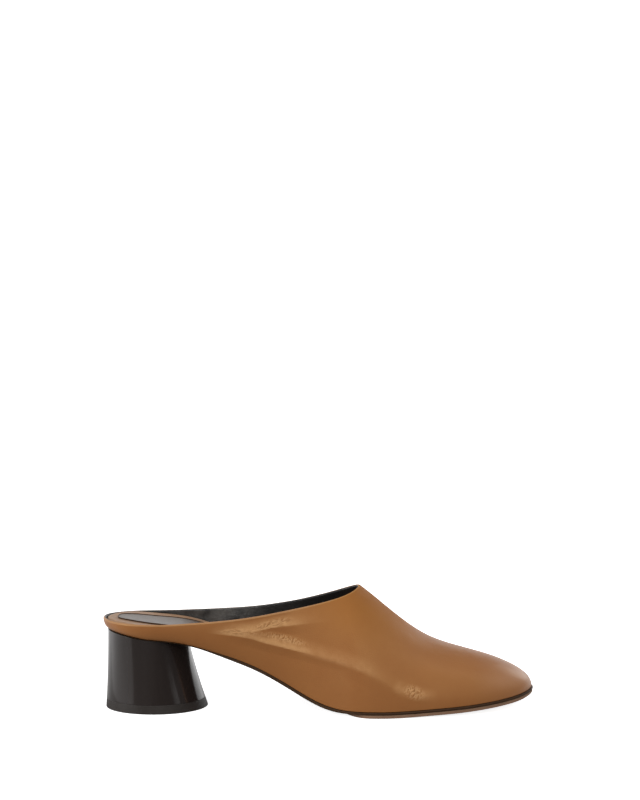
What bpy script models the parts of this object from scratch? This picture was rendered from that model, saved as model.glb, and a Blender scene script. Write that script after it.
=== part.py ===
"""Block heel mule, right foot: a backless closed-toe shoe on a flared round block heel.

The last is worked out from two short tables. SOLE_LINE gives the outline and the height of the feather
edge, where upper and sole meet, and UPPER_LINE gives the cross sections that rise from it. Every piece is
cut from those same curves. The model is made with x = 0 at the back of the feather edge, +X to the toe, +Y
to the inner side of the foot and the floor at z = 0, and an empty then centres the shoe over the origin.
"""

import math

import bmesh
import bpy
import numpy as np

# Sizes of the last, in metres.
LAST_LENGTH = 0.2465
BALL_WIDTH = 0.0780
SEAT_HEIGHT = 0.0458
TOE_SPRING = 0.0070
INSTEP_RISE = 0.0681

# Sizes of the upper.
UPPER_WALL = 0.0020
RIM_HEIGHT = 0.0087
THROAT_REACH = 0.1456

# Sizes of the bottom pieces.
SOLE_THICKNESS = 0.0018
SOLE_SEAT_THICKNESS = 0.0009
SOLE_MARGIN = 0.0008
TREAD_THICKNESS = 0.0012
TREAD_INSET = 0.0003
TREAD_START = 0.1290
HEEL_TOP_LENGTH = 0.0455
HEEL_BASE_DIAMETER = 0.0590
HEEL_BASE_OVERHANG = 0.0012
LIFT_THICKNESS = 0.0050
LIFT_EDGE_BEVEL = 0.0003

# Sizes of the pieces inside.
FOOTBED_THICKNESS = 0.0075
FOOTBED_DISH = 0.0014
PAD_LENGTH = 0.0880
PAD_WIDTH = 0.0320
PAD_BACK_INSET = 0.0040
PAD_THICKNESS = 0.0008

# Clearances.
FIT_GAP = 0.0003
FOOTBED_SIDE_GAP = 0.0005

# Where things begin and end, as shares of the last's length.
FLAT_FROM, FLAT_TO = 0.58, 0.64
SEAT_MIDDLE = 0.10
SQUARE_UNTIL, ACROSS_FROM = 0.28, 0.46
FAN_FROM = 0.26
SOLE_THIN_UNTIL, SOLE_FULL_FROM = 0.20, 0.32
MARGIN_FROM, MARGIN_FULL = 0.28, 0.44
TOE_ROOM_FROM = 0.80

# How fast the lines up the upper close at the toe, as a share of an even close.
FAN_CLOSE = 0.55
# How full the ends of the sock pad are: 1 is an ellipse, less is blunter.
PAD_ROUNDING = 0.8
# How late the heel flares on its way down: 1 is a straight cone, more keeps it straight for longer.
HEEL_BACK_FLARE, HEEL_FRONT_FLARE, HEEL_SIDE_FLARE = 2.2, 1.3, 1.4
# The half sole, in shares of its own length: where its rounded back ends, where it reaches its full
# thickness, where it starts to thin at the toe and how much of it is left there.
TREAD_ROUND_BACK = 0.12
TREAD_THIN_FROM, TREAD_FULL_FROM = -0.05, 0.09
TREAD_TOE_FROM, TREAD_TOE_SHARE = 0.70, 0.5
# The least half width over which the footbed's dish is spread, as a share of the seat's.
DISH_LEAST = 0.5

# How finely the curved forms are divided.
STATIONS = 48
UPPER_RINGS = 16
RING_CROWDING = 0.8
HEEL_SIDES = 64
HEEL_RINGS = 8
FOOTBED_COLUMNS = 6
PAD_COLUMNS = 4

# The small step that a direction is measured over, in radians, and how often a halving search halves.
ANGLE_STEP = 0.0005
HALVINGS = 40

OUTER, INNER = -1, 1


def table(names, *rows):
    """A table as one list of numbers for each named column."""
    return {name: [row[i] for row in rows] for i, name in enumerate(names.split())}


# along: share of the last's length. centre and half: middle and half width of the outline as shares of the
# ball width. pitch: share of the seat's height. spring: share of the toe spring.
SOLE_LINE = table(
    "along centre half pitch spring",
    (0.00, 0.000, 0.000, 1.000, 0.00),
    (0.02, 0.000, 0.197, 0.986, 0.00),
    (0.05, 0.000, 0.288, 0.958, 0.00),
    (0.10, 0.000, 0.338, 0.912, 0.00),
    (0.18, 0.000, 0.338, 0.858, 0.00),
    (0.26, -0.005, 0.320, 0.731, 0.00),
    (0.34, -0.015, 0.292, 0.560, 0.00),
    (0.42, -0.028, 0.280, 0.312, 0.00),
    (0.50, -0.037, 0.340, 0.070, 0.00),
    (0.54, -0.039, 0.396, 0.012, 0.00),
    (0.58, -0.039, 0.453, 0.000, 0.00),
    (0.64, -0.022, 0.496, 0.000, 0.00),
    (0.74, 0.003, 0.495, 0.000, 0.15),
    (0.82, 0.021, 0.456, 0.000, 0.28),
    (0.90, 0.042, 0.368, 0.000, 0.48),
    (0.96, 0.060, 0.249, 0.000, 0.72),
    (1.00, 0.071, 0.000, 0.000, 1.00),
)

# Cross sections from the feather edge up to the crest. crest and brim: height of the crest as shares of the
# instep rise and of the rim height, added together. shift: the crest's place sideways from the outline's
# middle. flare and swell: how far the wall stands out low down and high up. These three are shares of the
# ball width. low: height of the fullest place as a share of the crest. shoulder and over: how far the curve
# pulls in at the top, as shares of the way to the crest line.
UPPER_LINE = table(
    "along crest brim shift flare low swell shoulder over",
    (0.00, 0.000, 1.35, 0.000, 0.050, 0.12, 0.046, 0.00, 0.00),
    (0.10, 0.000, 1.60, 0.000, 0.044, 0.12, 0.058, 0.00, 0.06),
    (0.18, 0.060, 1.55, 0.000, 0.044, 0.13, 0.060, 0.00, 0.10),
    (0.26, 0.250, 1.20, 0.005, 0.041, 0.17, 0.050, 0.02, 0.20),
    (0.34, 0.520, 0.60, 0.012, 0.038, 0.26, 0.034, 0.08, 0.40),
    (0.42, 0.860, 0.20, 0.022, 0.036, 0.33, 0.014, 0.18, 0.70),
    (0.50, 1.100, 0.00, 0.032, 0.026, 0.42, 0.000, 0.30, 1.00),
    (0.58, 1.006, 0.00, 0.038, 0.018, 0.48, 0.000, 0.36, 1.00),
    (0.66, 0.772, 0.00, 0.040, 0.014, 0.50, 0.000, 0.40, 1.00),
    (0.74, 0.545, 0.00, 0.042, 0.012, 0.52, 0.000, 0.42, 1.00),
    (0.82, 0.417, 0.00, 0.036, 0.010, 0.54, 0.000, 0.44, 1.00),
    (0.90, 0.313, 0.00, 0.024, 0.008, 0.55, 0.000, 0.45, 1.00),
    (0.96, 0.196, 0.00, 0.012, 0.004, 0.55, 0.000, 0.45, 1.00),
    (1.00, 0.000, 0.00, 0.000, 0.000, 0.55, 0.000, 0.45, 1.00),
)

# The collar in side view. along: share of the throat's reach. climb: share of the way up from the rim's top
# to the throat.
COLLAR_LINE = table(
    "along climb",
    (0.00, 0.055),
    (0.06, 0.015),
    (0.15, 0.000),
    (0.25, 0.008),
    (0.35, 0.048),
    (0.50, 0.120),
    (0.60, 0.210),
    (0.70, 0.345),
    (0.80, 0.515),
    (0.90, 0.715),
    (1.00, 1.000),
)

# Thickness of the footbed as a share of its thickness at the seat.
FOOTBED_LINE = table(
    "along thick",
    (0.00, 0.52),
    (0.03, 0.62),
    (0.09, 0.95),
    (0.15, 1.00),
    (0.25, 1.06),
    (0.33, 0.98),
    (0.42, 0.78),
    (0.52, 0.55),
    (0.62, 0.46),
    (1.00, 0.44),
)


def turn(along):
    """The angle that runs from 0 at the heel end to pi at the toe end, so that both ends come out round."""
    return math.acos(min(1.0, max(-1.0, 1.0 - 2.0 * along)))


def share(angle):
    """The share of the length at an angle."""
    return (1.0 - math.cos(angle)) / 2.0


def mix(a, b, t):
    return a + (b - a) * t


def ease(start, stop, value):
    """0 up to start, 1 from stop on, smooth between."""
    t = min(1.0, max(0.0, (value - start) / (stop - start)))
    return t * t * (3.0 - 2.0 * t)


def spline(line, column, heel_end=1, toe_end=1):
    """A smooth curve over the angle through one column of a table.

    The rows are mirrored past both ends. An end of 1 is level there, and an end of -1 runs through zero.
    """
    angles = [turn(along) for along in line["along"]]
    values = line[column]
    knots = [-a for a in angles[:0:-1]] + angles + [2 * math.pi - a for a in angles[-2::-1]]
    heights = [heel_end * v for v in values[:0:-1]] + values + [toe_end * v for v in values[-2::-1]]
    x, y = np.array(knots), np.array(heights)
    gap = np.diff(x)
    rise = np.diff(y) / gap
    count = len(x)
    system, right = np.zeros((count, count)), np.zeros(count)
    system[0, 0] = system[-1, -1] = 1.0
    right[0], right[-1] = rise[0], rise[-1]
    for i in range(1, count - 1):
        system[i, i - 1] = 1.0 / gap[i - 1]
        system[i, i] = 2.0 * (1.0 / gap[i - 1] + 1.0 / gap[i])
        system[i, i + 1] = 1.0 / gap[i]
        right[i] = 3.0 * (rise[i - 1] / gap[i - 1] + rise[i] / gap[i])
    slope = np.linalg.solve(system, right)

    def at(angle):
        i = min(count - 2, max(0, int(np.searchsorted(x, angle)) - 1))
        t = (angle - x[i]) / gap[i]
        value = y[i] * (1 + 2 * t) * (1 - t) ** 2 + y[i + 1] * t * t * (3 - 2 * t)
        return float(value + gap[i] * (slope[i] * t * (1 - t) ** 2 - slope[i + 1] * t * t * (1 - t)))

    return at


CENTRE = spline(SOLE_LINE, "centre")
HALF = spline(SOLE_LINE, "half", -1, -1)
PITCH = spline(SOLE_LINE, "pitch")
SPRING = spline(SOLE_LINE, "spring")
CREST = spline(UPPER_LINE, "crest", 1, -1)
BRIM = spline(UPPER_LINE, "brim")
SHIFT = spline(UPPER_LINE, "shift", -1, -1)
FLARE = spline(UPPER_LINE, "flare", 1, -1)
LOW = spline(UPPER_LINE, "low")
SWELL = spline(UPPER_LINE, "swell")
SHOULDER = spline(UPPER_LINE, "shoulder")
OVER = spline(UPPER_LINE, "over")
CLIMB = spline(COLLAR_LINE, "climb")
FOOTBED = spline(FOOTBED_LINE, "thick")

STACK = TREAD_THICKNESS + FIT_GAP + SOLE_THICKNESS
THROAT_SHARE = THROAT_REACH / LAST_LENGTH


def feather_height(angle):
    """Height of the sole's top at an angle: the seat's pitch, the flat ball and the toe spring."""
    along = share(angle)
    pitch = PITCH(angle) if along < FLAT_FROM else 0.0
    spring = SPRING(angle) if along > FLAT_TO else 0.0
    return STACK + max(0.0, pitch) * (SEAT_HEIGHT - STACK) + max(0.0, spring) * TOE_SPRING


def height_at(x):
    """Height of the sole's top at a distance from the back of the last."""
    return feather_height(turn(x / LAST_LENGTH))


def outline(angle, side):
    """The feather edge in plan."""
    return LAST_LENGTH * share(angle), BALL_WIDTH * (CENTRE(angle) + side * HALF(angle))


def square(angle, side):
    """The direction square to the feather edge in plan, pointing out of the shoe."""
    x0, y0 = outline(angle - ANGLE_STEP, side)
    x1, y1 = outline(angle + ANGLE_STEP, side)
    length = math.hypot(x1 - x0, y1 - y0)
    return -side * (y1 - y0) / length, side * (x1 - x0) / length


def outward(angle, side):
    """The direction a cross section stands in: square to the seat, straight across from the waist on."""
    x, y = square(angle, side)
    t = ease(SQUARE_UNTIL, ACROSS_FROM, share(angle))
    x, y = mix(x, 0.0, t), mix(y, side, t)
    length = math.hypot(x, y)
    return x / length, y / length


def crest_height(angle):
    """Height of the crest over the feather edge. Over the open quarters it only shapes the wall."""
    return max(0.0, INSTEP_RISE * CREST(angle) + RIM_HEIGHT * BRIM(angle))


def section(angle, side, wrap):
    """How far out and up the wall is, from the feather edge at wrap 0 to the crest at wrap 1."""
    rise = crest_height(angle)
    reach = BALL_WIDTH * (HALF(angle) - side * SHIFT(angle))
    out_low = BALL_WIDTH * FLARE(angle)
    out_high = BALL_WIDTH * SWELL(angle) - SHOULDER(angle) * reach
    out_crest = -OVER(angle) * reach
    first = 3 * wrap * (1 - wrap) ** 2
    second = 3 * wrap * wrap * (1 - wrap)
    third = wrap**3
    out = first * out_low + second * out_high + third * out_crest
    up = (first * LOW(angle) + second + third) * rise
    return out, up


def wrap_at(angle, side, up):
    """The wrap at which the wall reaches a height over the feather edge."""
    below, above = 0.0, 1.0
    for _ in range(HALVINGS):
        middle = (below + above) / 2
        if section(angle, side, middle)[1] < up:
            below = middle
        else:
            above = middle
    return (below + above) / 2


def wall_point(angle, side, wrap):
    """A point of the upper's outer skin."""
    x, y = outline(angle, side)
    out, up = section(angle, side, wrap)
    step_x, step_y = outward(angle, side)
    return x + out * step_x, y + out * step_y, feather_height(angle) + FIT_GAP + up


RIM_TOP = feather_height(turn(SEAT_MIDDLE)) + RIM_HEIGHT
THROAT_ANGLE = turn(THROAT_SHARE)
THROAT_TOP = feather_height(THROAT_ANGLE) + crest_height(THROAT_ANGLE)


def collar_wrap(collar_angle, side):
    """How far up its section the collar lies, at an angle that runs from the back to the throat."""
    angle = turn(THROAT_SHARE * share(collar_angle))
    height = mix(RIM_TOP, THROAT_TOP, CLIMB(collar_angle))
    return angle, wrap_at(angle, side, height - feather_height(angle))


def collar_turn(angle):
    """The collar angle that a line from the sole edge runs up to.

    Behind the waist the line goes straight up. Forward of it the lines fan round the throat.
    """
    fan = turn(FAN_FROM)
    start = math.acos(1.0 - (1.0 - math.cos(min(angle, fan))) / THROAT_SHARE)
    if angle <= fan:
        return start
    run, rise = math.pi - fan, math.pi - start
    leave = math.sin(fan) / (THROAT_SHARE * math.sin(start)) * run
    arrive = FAN_CLOSE * rise
    t = (angle - fan) / run
    bend = leave * t * (1 - t) ** 2 - arrive * t * t * (1 - t)
    return start + rise * t * t * (3 - 2 * t) + bend


def upper_line(angle, side, rings):
    """Points up the outer skin from sole edge to collar, crowded low down where the toe is round."""
    top_angle, top_wrap = collar_wrap(collar_turn(angle), side)
    foot, head = share(angle), share(top_angle)
    wide_foot, wide_head = math.sin(angle), math.sin(top_angle) * (1.0 - top_wrap)
    points = []
    for ring in range(rings + 1):
        even = ring / rings
        t = mix(even, 1.0 - math.cos(even * math.pi / 2), RING_CROWDING)
        here = turn(mix(foot, head, t))
        room = math.sin(here)
        wrap = 1.0 - mix(wide_foot, wide_head, t) / room if room > 1e-6 and ring else top_wrap * t
        points.append(wall_point(here, side, min(1.0, max(0.0, wrap))))
    return points


def ring_of_angles():
    """Each angle with its side, once round the shoe from the back by the outer side to the toe and home."""
    angles = [math.pi * i / STATIONS for i in range(STATIONS + 1)]
    return [(a, OUTER) for a in angles] + [(a, INNER) for a in angles[-2:0:-1]]


def outer_skin():
    """All the points of the upper's outer skin."""
    return [point for angle, side in ring_of_angles() for point in upper_line(angle, side, UPPER_RINGS)]


def new_object(name, vertices, faces, collection):
    """A mesh object whose doubled points are joined and whose faces point out."""
    mesh = bpy.data.meshes.new(name)
    mesh.from_pydata(vertices, [], faces)
    edit = bmesh.new()
    edit.from_mesh(mesh)
    bmesh.ops.remove_doubles(edit, verts=edit.verts, dist=1e-6)
    bmesh.ops.dissolve_degenerate(edit, edges=edit.edges, dist=1e-6)
    bmesh.ops.recalc_face_normals(edit, faces=edit.faces)
    edit.to_mesh(mesh)
    edit.free()
    piece = bpy.data.objects.new(name, mesh)
    collection.objects.link(piece)
    return piece


def finish(piece, material, sharp_degrees=35):
    """Smooth shading with sharp edges kept, and the piece's material."""
    piece.data.shade_smooth()
    piece.data.set_sharp_from_angle(angle=math.radians(sharp_degrees))
    piece.data.materials.clear()
    piece.data.materials.append(material)


def material(name, colour, roughness, coat=0.0):
    """A plain material for one piece."""
    made = bpy.data.materials.new(name)
    made.use_nodes = True
    shader = made.node_tree.nodes["Principled BSDF"]
    shader.inputs["Base Color"].default_value = (*colour, 1.0)
    shader.inputs["Roughness"].default_value = roughness
    shader.inputs["Metallic"].default_value = 0.0
    shader.inputs["Coat Weight"].default_value = coat
    return made


def slab(name, bottom, top, collection):
    """A closed plate between two grids of points. Each grid is a list of rows across, from heel to toe."""
    rows, columns = len(bottom), len(bottom[0])
    vertices = [point for grid in (bottom, top) for row in grid for point in row]

    def at(grid, row, column):
        return (grid * rows + row) * columns + column

    def edge_face(start, end):
        return [at(0, *start), at(0, *end), at(1, *end), at(1, *start)]

    faces = []
    for row in range(rows - 1):
        for column in range(columns - 1):
            corners = (row, column), (row, column + 1), (row + 1, column + 1), (row + 1, column)
            for grid in (0, 1):
                faces.append([at(grid, *corner) for corner in corners])
        for column in (0, columns - 1):
            faces.append(edge_face((row, column), (row + 1, column)))
    for row in (0, rows - 1):
        for column in range(columns - 1):
            faces.append(edge_face((row, column), (row, column + 1)))
    return new_object(name, vertices, faces, collection)


def across(outer, inner, columns=1):
    """Points on a row from the outer side to the inner side."""
    shares = [column / columns for column in range(columns + 1)]
    return [tuple(mix(a, b, t) for a, b in zip(outer, inner)) for t in shares]


def edge_point(angle, side, distance, rise=0.0):
    """A point beside the feather edge: a distance out, square to it, and a rise over the sole's top."""
    x, y = outline(angle, side)
    step_x, step_y = square(angle, side)
    x, y = x + distance * step_x, y + distance * step_y
    return x, y, height_at(x) + rise


def stations(first=0.0, last=math.pi):
    return [mix(first, last, i / STATIONS) for i in range(STATIONS + 1)]


def sole_thickness(x):
    """The sole is shaved thin over the heel and is full from the waist on."""
    return mix(SOLE_SEAT_THICKNESS, SOLE_THICKNESS, ease(SOLE_THIN_UNTIL, SOLE_FULL_FROM, x / LAST_LENGTH))


def sole_bottom(x):
    return height_at(x) - sole_thickness(x)


def sole_margin(angle):
    """The sole is flush with the seat and stands out a little round the forepart."""
    return SOLE_MARGIN * ease(MARGIN_FROM, MARGIN_FULL, share(angle))


def make_upper(collection):
    """One hollow shell, open at the collar and underneath, closed over the toes."""
    vertices = outer_skin()
    per_line = UPPER_RINGS + 1
    faces = []
    for start in range(0, len(vertices), per_line):
        following = (start + per_line) % len(vertices)
        for ring in range(UPPER_RINGS):
            faces.append([start + ring, following + ring, following + ring + 1, start + ring + 1])
    skin = new_object("upper", vertices, faces, collection)
    wall = skin.modifiers.new("Wall", "SOLIDIFY")
    wall.thickness = UPPER_WALL
    wall.offset = -1.0
    wall.use_even_offset = True
    seat_lower_edge(skin)
    finish(skin, material("smooth_leather", (0.36, 0.17, 0.075), 0.42), 50)
    return skin


def seat_lower_edge(skin):
    """Makes the wall real and sets its lower edge flat on the sole, one wall wide."""
    graph = bpy.context.evaluated_depsgraph_get()
    walled = bpy.data.meshes.new_from_object(skin.evaluated_get(graph))
    first_inside = len(skin.data.vertices)
    skin.modifiers.clear()
    skin.data = walled
    for i, (angle, side) in enumerate(ring_of_angles()):
        inner = walled.vertices[first_inside + i * (UPPER_RINGS + 1)]
        inner.co = edge_point(angle, side, -UPPER_WALL, FIT_GAP)


def make_sole(collection):
    """The thin full-length sole that closes the upper underneath."""
    bottom, top = [], []
    for angle in stations():
        ends = [edge_point(angle, side, sole_margin(angle)) for side in (OUTER, INNER)]
        top.append(across(*ends))
        bottom.append(across(*[(x, y, sole_bottom(x)) for x, y, z in ends]))
    sole = slab("sole", bottom, top, collection)
    finish(sole, material("sole_edge", (0.022, 0.012, 0.008), 0.45))
    return sole


def make_forefoot_tread(collection):
    """The thin half sole under the forepart, shaved to nothing behind the ball and thinner at the toe."""
    bottom, top = [], []
    first = turn(TREAD_START / LAST_LENGTH)
    for i, angle in enumerate(stations(first)):
        t = i / STATIONS
        round_back = math.sqrt(math.sin(math.pi / 2 * min(1.0, t / TREAD_ROUND_BACK)))
        toe_share = mix(1.0, TREAD_TOE_SHARE, ease(TREAD_TOE_FROM, 1.0, t))
        thick = TREAD_THICKNESS * ease(TREAD_THIN_FROM, TREAD_FULL_FROM, t) * toe_share
        middle = BALL_WIDTH * CENTRE(angle)
        ends = []
        for side in (OUTER, INNER):
            x, y, z = edge_point(angle, side, sole_margin(angle) - TREAD_INSET)
            ends.append((x, mix(middle, y, round_back), sole_bottom(x) - FIT_GAP))
        top.append(across(*ends))
        bottom.append(across(*[(x, y, z - thick) for x, y, z in ends]))
    tread = slab("forefoot_tread", bottom, top, collection)
    finish(tread, material("tread_leather", (0.33, 0.19, 0.12), 0.6))
    return tread


def footbed_top(x, y):
    """Height of the footbed's top, dished towards the middle of the shoe."""
    angle = turn(x / LAST_LENGTH)
    half = BALL_WIDTH * max(HALF(angle), DISH_LEAST * HALF(turn(SEAT_MIDDLE)))
    off_middle = (y - BALL_WIDTH * CENTRE(angle)) / half
    dish = FOOTBED_DISH * math.sin(angle) * max(0.0, 1.0 - off_middle**2)
    return height_at(x) + FIT_GAP + FOOTBED_THICKNESS * FOOTBED(angle) - dish


def footbed_edge(angle, side, thick):
    """The footbed's edge inside the upper's wall, leaning out with it at a thickness."""
    clear = UPPER_WALL + FOOTBED_SIDE_GAP
    lean, _ = section(angle, side, wrap_at(angle, side, thick))
    lean *= 1.0 - ease(SQUARE_UNTIL, ACROSS_FROM, share(angle))
    toe_room = clear * ease(TOE_ROOM_FROM, 1.0, share(angle))
    return edge_point(angle, side, lean - clear - toe_room, FIT_GAP)


def make_insole(collection):
    """The padded footbed, thick at the seat and arch, that lies inside the upper on the sole."""
    bottom, top = [], []
    for angle in stations():
        thick = FOOTBED_THICKNESS * FOOTBED(angle)
        low = [footbed_edge(angle, side, 0.0) for side in (OUTER, INNER)]
        high = [footbed_edge(angle, side, thick) for side in (OUTER, INNER)]
        bottom.append(across(*low, FOOTBED_COLUMNS))
        top.append([(x, y, footbed_top(x, y)) for x, y, z in across(*high, FOOTBED_COLUMNS)])
    insole = slab("insole", bottom, top, collection)
    finish(insole, material("footbed_leather", (0.42, 0.25, 0.15), 0.5))
    return insole


def make_heel_pad(collection):
    """The thin sock pad set on the footbed over the seat, round at both ends."""
    bottom, top = [], []
    back = UPPER_WALL + PAD_BACK_INSET
    for turned in stations():
        x = back + PAD_LENGTH * share(turned)
        half = PAD_WIDTH / 2 * math.sin(turned) ** PAD_ROUNDING
        middle = BALL_WIDTH * CENTRE(turn(x / LAST_LENGTH))
        row = across((x, middle - half, 0.0), (x, middle + half, 0.0), PAD_COLUMNS)
        bottom.append([(x, y, footbed_top(x, y) + FIT_GAP) for x, y, z in row])
        top.append([(x, y, z + PAD_THICKNESS) for x, y, z in bottom[-1]])
    pad = slab("heel_pad", bottom, top, collection)
    finish(pad, material("sock_leather", (0.14, 0.085, 0.06), 0.4))
    return pad


def heel_ring(height):
    """Middle along the shoe, half length and half width of the heel at a height over the floor."""
    down = max(0.0, 1.0 - height / SEAT_HEIGHT)
    back = mix(0.0, -HEEL_BASE_OVERHANG, down**HEEL_BACK_FLARE)
    front = mix(HEEL_TOP_LENGTH, HEEL_BASE_DIAMETER - HEEL_BASE_OVERHANG, down**HEEL_FRONT_FLARE)
    seat_half = BALL_WIDTH * HALF(turn(SEAT_MIDDLE)) - FIT_GAP
    half_width = mix(seat_half, HEEL_BASE_DIAMETER / 2, down**HEEL_SIDE_FLARE)
    return (back + front) / 2, (front - back) / 2, half_width


def make_turned(name, heights, collection):
    """A stack of rounds that follows the heel's flare, closed by a flat face at both ends."""
    vertices = []
    for height in heights:
        middle, long_half, wide_half = heel_ring(height)
        for i in range(HEEL_SIDES):
            angle = 2 * math.pi * i / HEEL_SIDES
            vertices.append((middle + long_half * math.cos(angle), wide_half * math.sin(angle), height))
    faces = [list(range(HEEL_SIDES)), list(range(len(vertices) - HEEL_SIDES, len(vertices)))]
    for ring in range(len(heights) - 1):
        for i in range(HEEL_SIDES):
            low, beside = ring * HEEL_SIDES + i, ring * HEEL_SIDES + (i + 1) % HEEL_SIDES
            faces.append([low, beside, beside + HEEL_SIDES, low + HEEL_SIDES])
    return new_object(name, vertices, faces, collection)


def make_seat_cutter(collection):
    """All the room over the sole's underside at the heel, with the fitting gap, as one wide block."""
    behind, beyond = -HEEL_BASE_DIAMETER, SEAT_HEIGHT + HEEL_BASE_DIAMETER
    places = [behind] + [LAST_LENGTH * share(a) for a in stations(0.0, math.pi / 2)]
    profile = [(x, sole_bottom(x) - FIT_GAP) for x in places]
    bottom = [across((x, -BALL_WIDTH, z), (x, BALL_WIDTH, z)) for x, z in profile]
    top = [across((x, -BALL_WIDTH, beyond), (x, BALL_WIDTH, beyond)) for x, z in profile]
    cutter = slab("seat_cutter", bottom, top, collection)
    cutter.hide_render = True
    cutter.display_type = "WIRE"
    return cutter


def make_heel_block(collection, cutters):
    """The flared round heel, its top cut to the pitch of the seat."""
    low, high = LIFT_THICKNESS + FIT_GAP, SEAT_HEIGHT + FIT_GAP
    heights = [mix(low, high, i / HEEL_RINGS) for i in range(HEEL_RINGS + 1)]
    heel = make_turned("heel_block", heights, collection)
    cut = heel.modifiers.new("Seat", "BOOLEAN")
    cut.operation = "DIFFERENCE"
    cut.solver = "EXACT"
    cut.object = make_seat_cutter(cutters)
    finish(heel, material("polished_heel", (0.040, 0.028, 0.022), 0.25, 0.5))
    return heel


def make_heel_lift(collection):
    """The top piece that the heel walks on."""
    lift = make_turned("heel_lift", [0.0, LIFT_THICKNESS], collection)
    edge = lift.modifiers.new("Edge", "BEVEL")
    edge.width = LIFT_EDGE_BEVEL
    edge.segments = 1
    edge.limit_method = "ANGLE"
    finish(lift, material("heel_lift", (0.035, 0.024, 0.019), 0.4))
    return lift


def centre_over_origin(pieces, collection):
    """Parents the pieces to an empty that puts the middle of the shoe's floor outline at the origin."""
    edge = outer_skin() + [edge_point(a, s, sole_margin(a)) for a, s in ring_of_angles()]
    middle, long_half, wide_half = heel_ring(0.0)
    edge += [(middle - long_half, 0.0, 0.0), (middle, wide_half, 0.0), (middle, -wide_half, 0.0)]
    holder = bpy.data.objects.new("shoe_middle", None)
    collection.objects.link(holder)
    spans = [(min(p[i] for p in edge), max(p[i] for p in edge)) for i in (0, 1)]
    holder.location = (-sum(spans[0]) / 2, -sum(spans[1]) / 2, 0.0)
    for piece in pieces:
        piece.parent = holder


def main():
    for old in list(bpy.data.objects):
        bpy.data.objects.remove(old, do_unlink=True)
    mule = bpy.data.collections.new("block_heel_mule")
    cutters = bpy.data.collections.new("cutters")
    for collection in (mule, cutters):
        bpy.context.scene.collection.children.link(collection)
    pieces = [
        make_upper(mule),
        make_sole(mule),
        make_forefoot_tread(mule),
        make_insole(mule),
        make_heel_pad(mule),
        make_heel_block(mule, cutters),
        make_heel_lift(mule),
    ]
    centre_over_origin(pieces + list(cutters.objects), mule)


main()
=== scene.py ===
# %% [markdown]
# # A block heel mule in tan leather, dressed over its solids
#
# The solids of the shoe are already packed: upper, sole, half sole, footbed, sock pad, heel and top piece.
# They are true to size but plain. This lesson builds the fine skins over them, piece by piece, from the
# same curves that shaped the solids, and then gives each leather its finish.
#
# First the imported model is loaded. It never moves. Its box is kept, so that we can see at the end that the
# dressed shoe still has the size of the solids.

# %% Load the solids and measure them
import math

import bmesh
import bpy
import numpy as np
from mathutils import Euler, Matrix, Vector


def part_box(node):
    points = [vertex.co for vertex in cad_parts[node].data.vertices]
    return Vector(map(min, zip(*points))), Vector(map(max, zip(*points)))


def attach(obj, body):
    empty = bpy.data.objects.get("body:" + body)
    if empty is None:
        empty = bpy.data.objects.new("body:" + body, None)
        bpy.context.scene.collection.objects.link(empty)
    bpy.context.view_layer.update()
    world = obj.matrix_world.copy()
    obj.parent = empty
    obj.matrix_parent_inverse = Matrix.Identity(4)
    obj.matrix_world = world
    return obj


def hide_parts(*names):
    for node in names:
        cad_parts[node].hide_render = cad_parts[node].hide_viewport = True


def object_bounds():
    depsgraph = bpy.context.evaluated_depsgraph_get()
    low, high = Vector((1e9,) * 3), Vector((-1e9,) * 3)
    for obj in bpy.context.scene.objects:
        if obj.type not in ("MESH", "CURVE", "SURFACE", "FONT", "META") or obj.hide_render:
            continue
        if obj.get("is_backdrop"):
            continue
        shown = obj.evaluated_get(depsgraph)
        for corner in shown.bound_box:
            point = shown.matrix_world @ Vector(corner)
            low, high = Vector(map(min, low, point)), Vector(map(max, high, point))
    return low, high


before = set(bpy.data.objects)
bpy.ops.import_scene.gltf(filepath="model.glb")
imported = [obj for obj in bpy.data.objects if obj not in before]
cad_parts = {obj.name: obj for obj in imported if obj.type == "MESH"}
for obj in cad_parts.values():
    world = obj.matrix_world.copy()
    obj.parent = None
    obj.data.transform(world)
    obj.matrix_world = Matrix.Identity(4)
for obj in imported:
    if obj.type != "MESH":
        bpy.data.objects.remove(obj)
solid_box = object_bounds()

for name in sorted(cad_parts):
    low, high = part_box(name)
    print(name, [round(1000 * (high[i] - low[i]), 1) for i in range(3)], "mm")

# %% [markdown]
# ## The last, as two short tables
#
# A shoe is built over a last, and a last can be told in two tables: the outline and height of the feather
# edge, where upper and sole meet, and the cross sections that rise from it. All columns are shares of a few
# real sizes, so the tables stay readable and the shoe can be regraded by changing one number.
#
# The rows are read through smooth curves over an angle that runs from 0 at the heel to pi at the toe. Both
# ends then come out round without any extra work. We work on whole arrays of angles at once, because the
# skin of the upper has tens of thousands of points.

# %% Sizes and tables of the last
LAST_LENGTH = 0.2465
BALL_WIDTH = 0.0780
SEAT_HEIGHT = 0.0458
TOE_SPRING = 0.0070
INSTEP_RISE = 0.0681
RIM_HEIGHT = 0.0087
THROAT_REACH = 0.1456
SOLE_THICKNESS = 0.0018
SOLE_SEAT_THICKNESS = 0.0004
SOLE_FORE_THICKNESS = 0.0012
TREAD_THICKNESS = 0.0012
FIT_GAP = 0.0003
STACK = TREAD_THICKNESS + FIT_GAP + SOLE_THICKNESS
OUTER, INNER = -1.0, 1.0

# Shares of the length: the flat under the ball, the middle of the seat, and where the wall turns from
# square to the edge to straight across the shoe.
FLAT_FROM, FLAT_TO = 0.58, 0.64
SEAT_MIDDLE = 0.10
SQUARE_UNTIL, ACROSS_FROM = 0.28, 0.46


def table(names, *rows):
    return {name: np.array([row[i] for row in rows]) for i, name in enumerate(names.split())}


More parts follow.
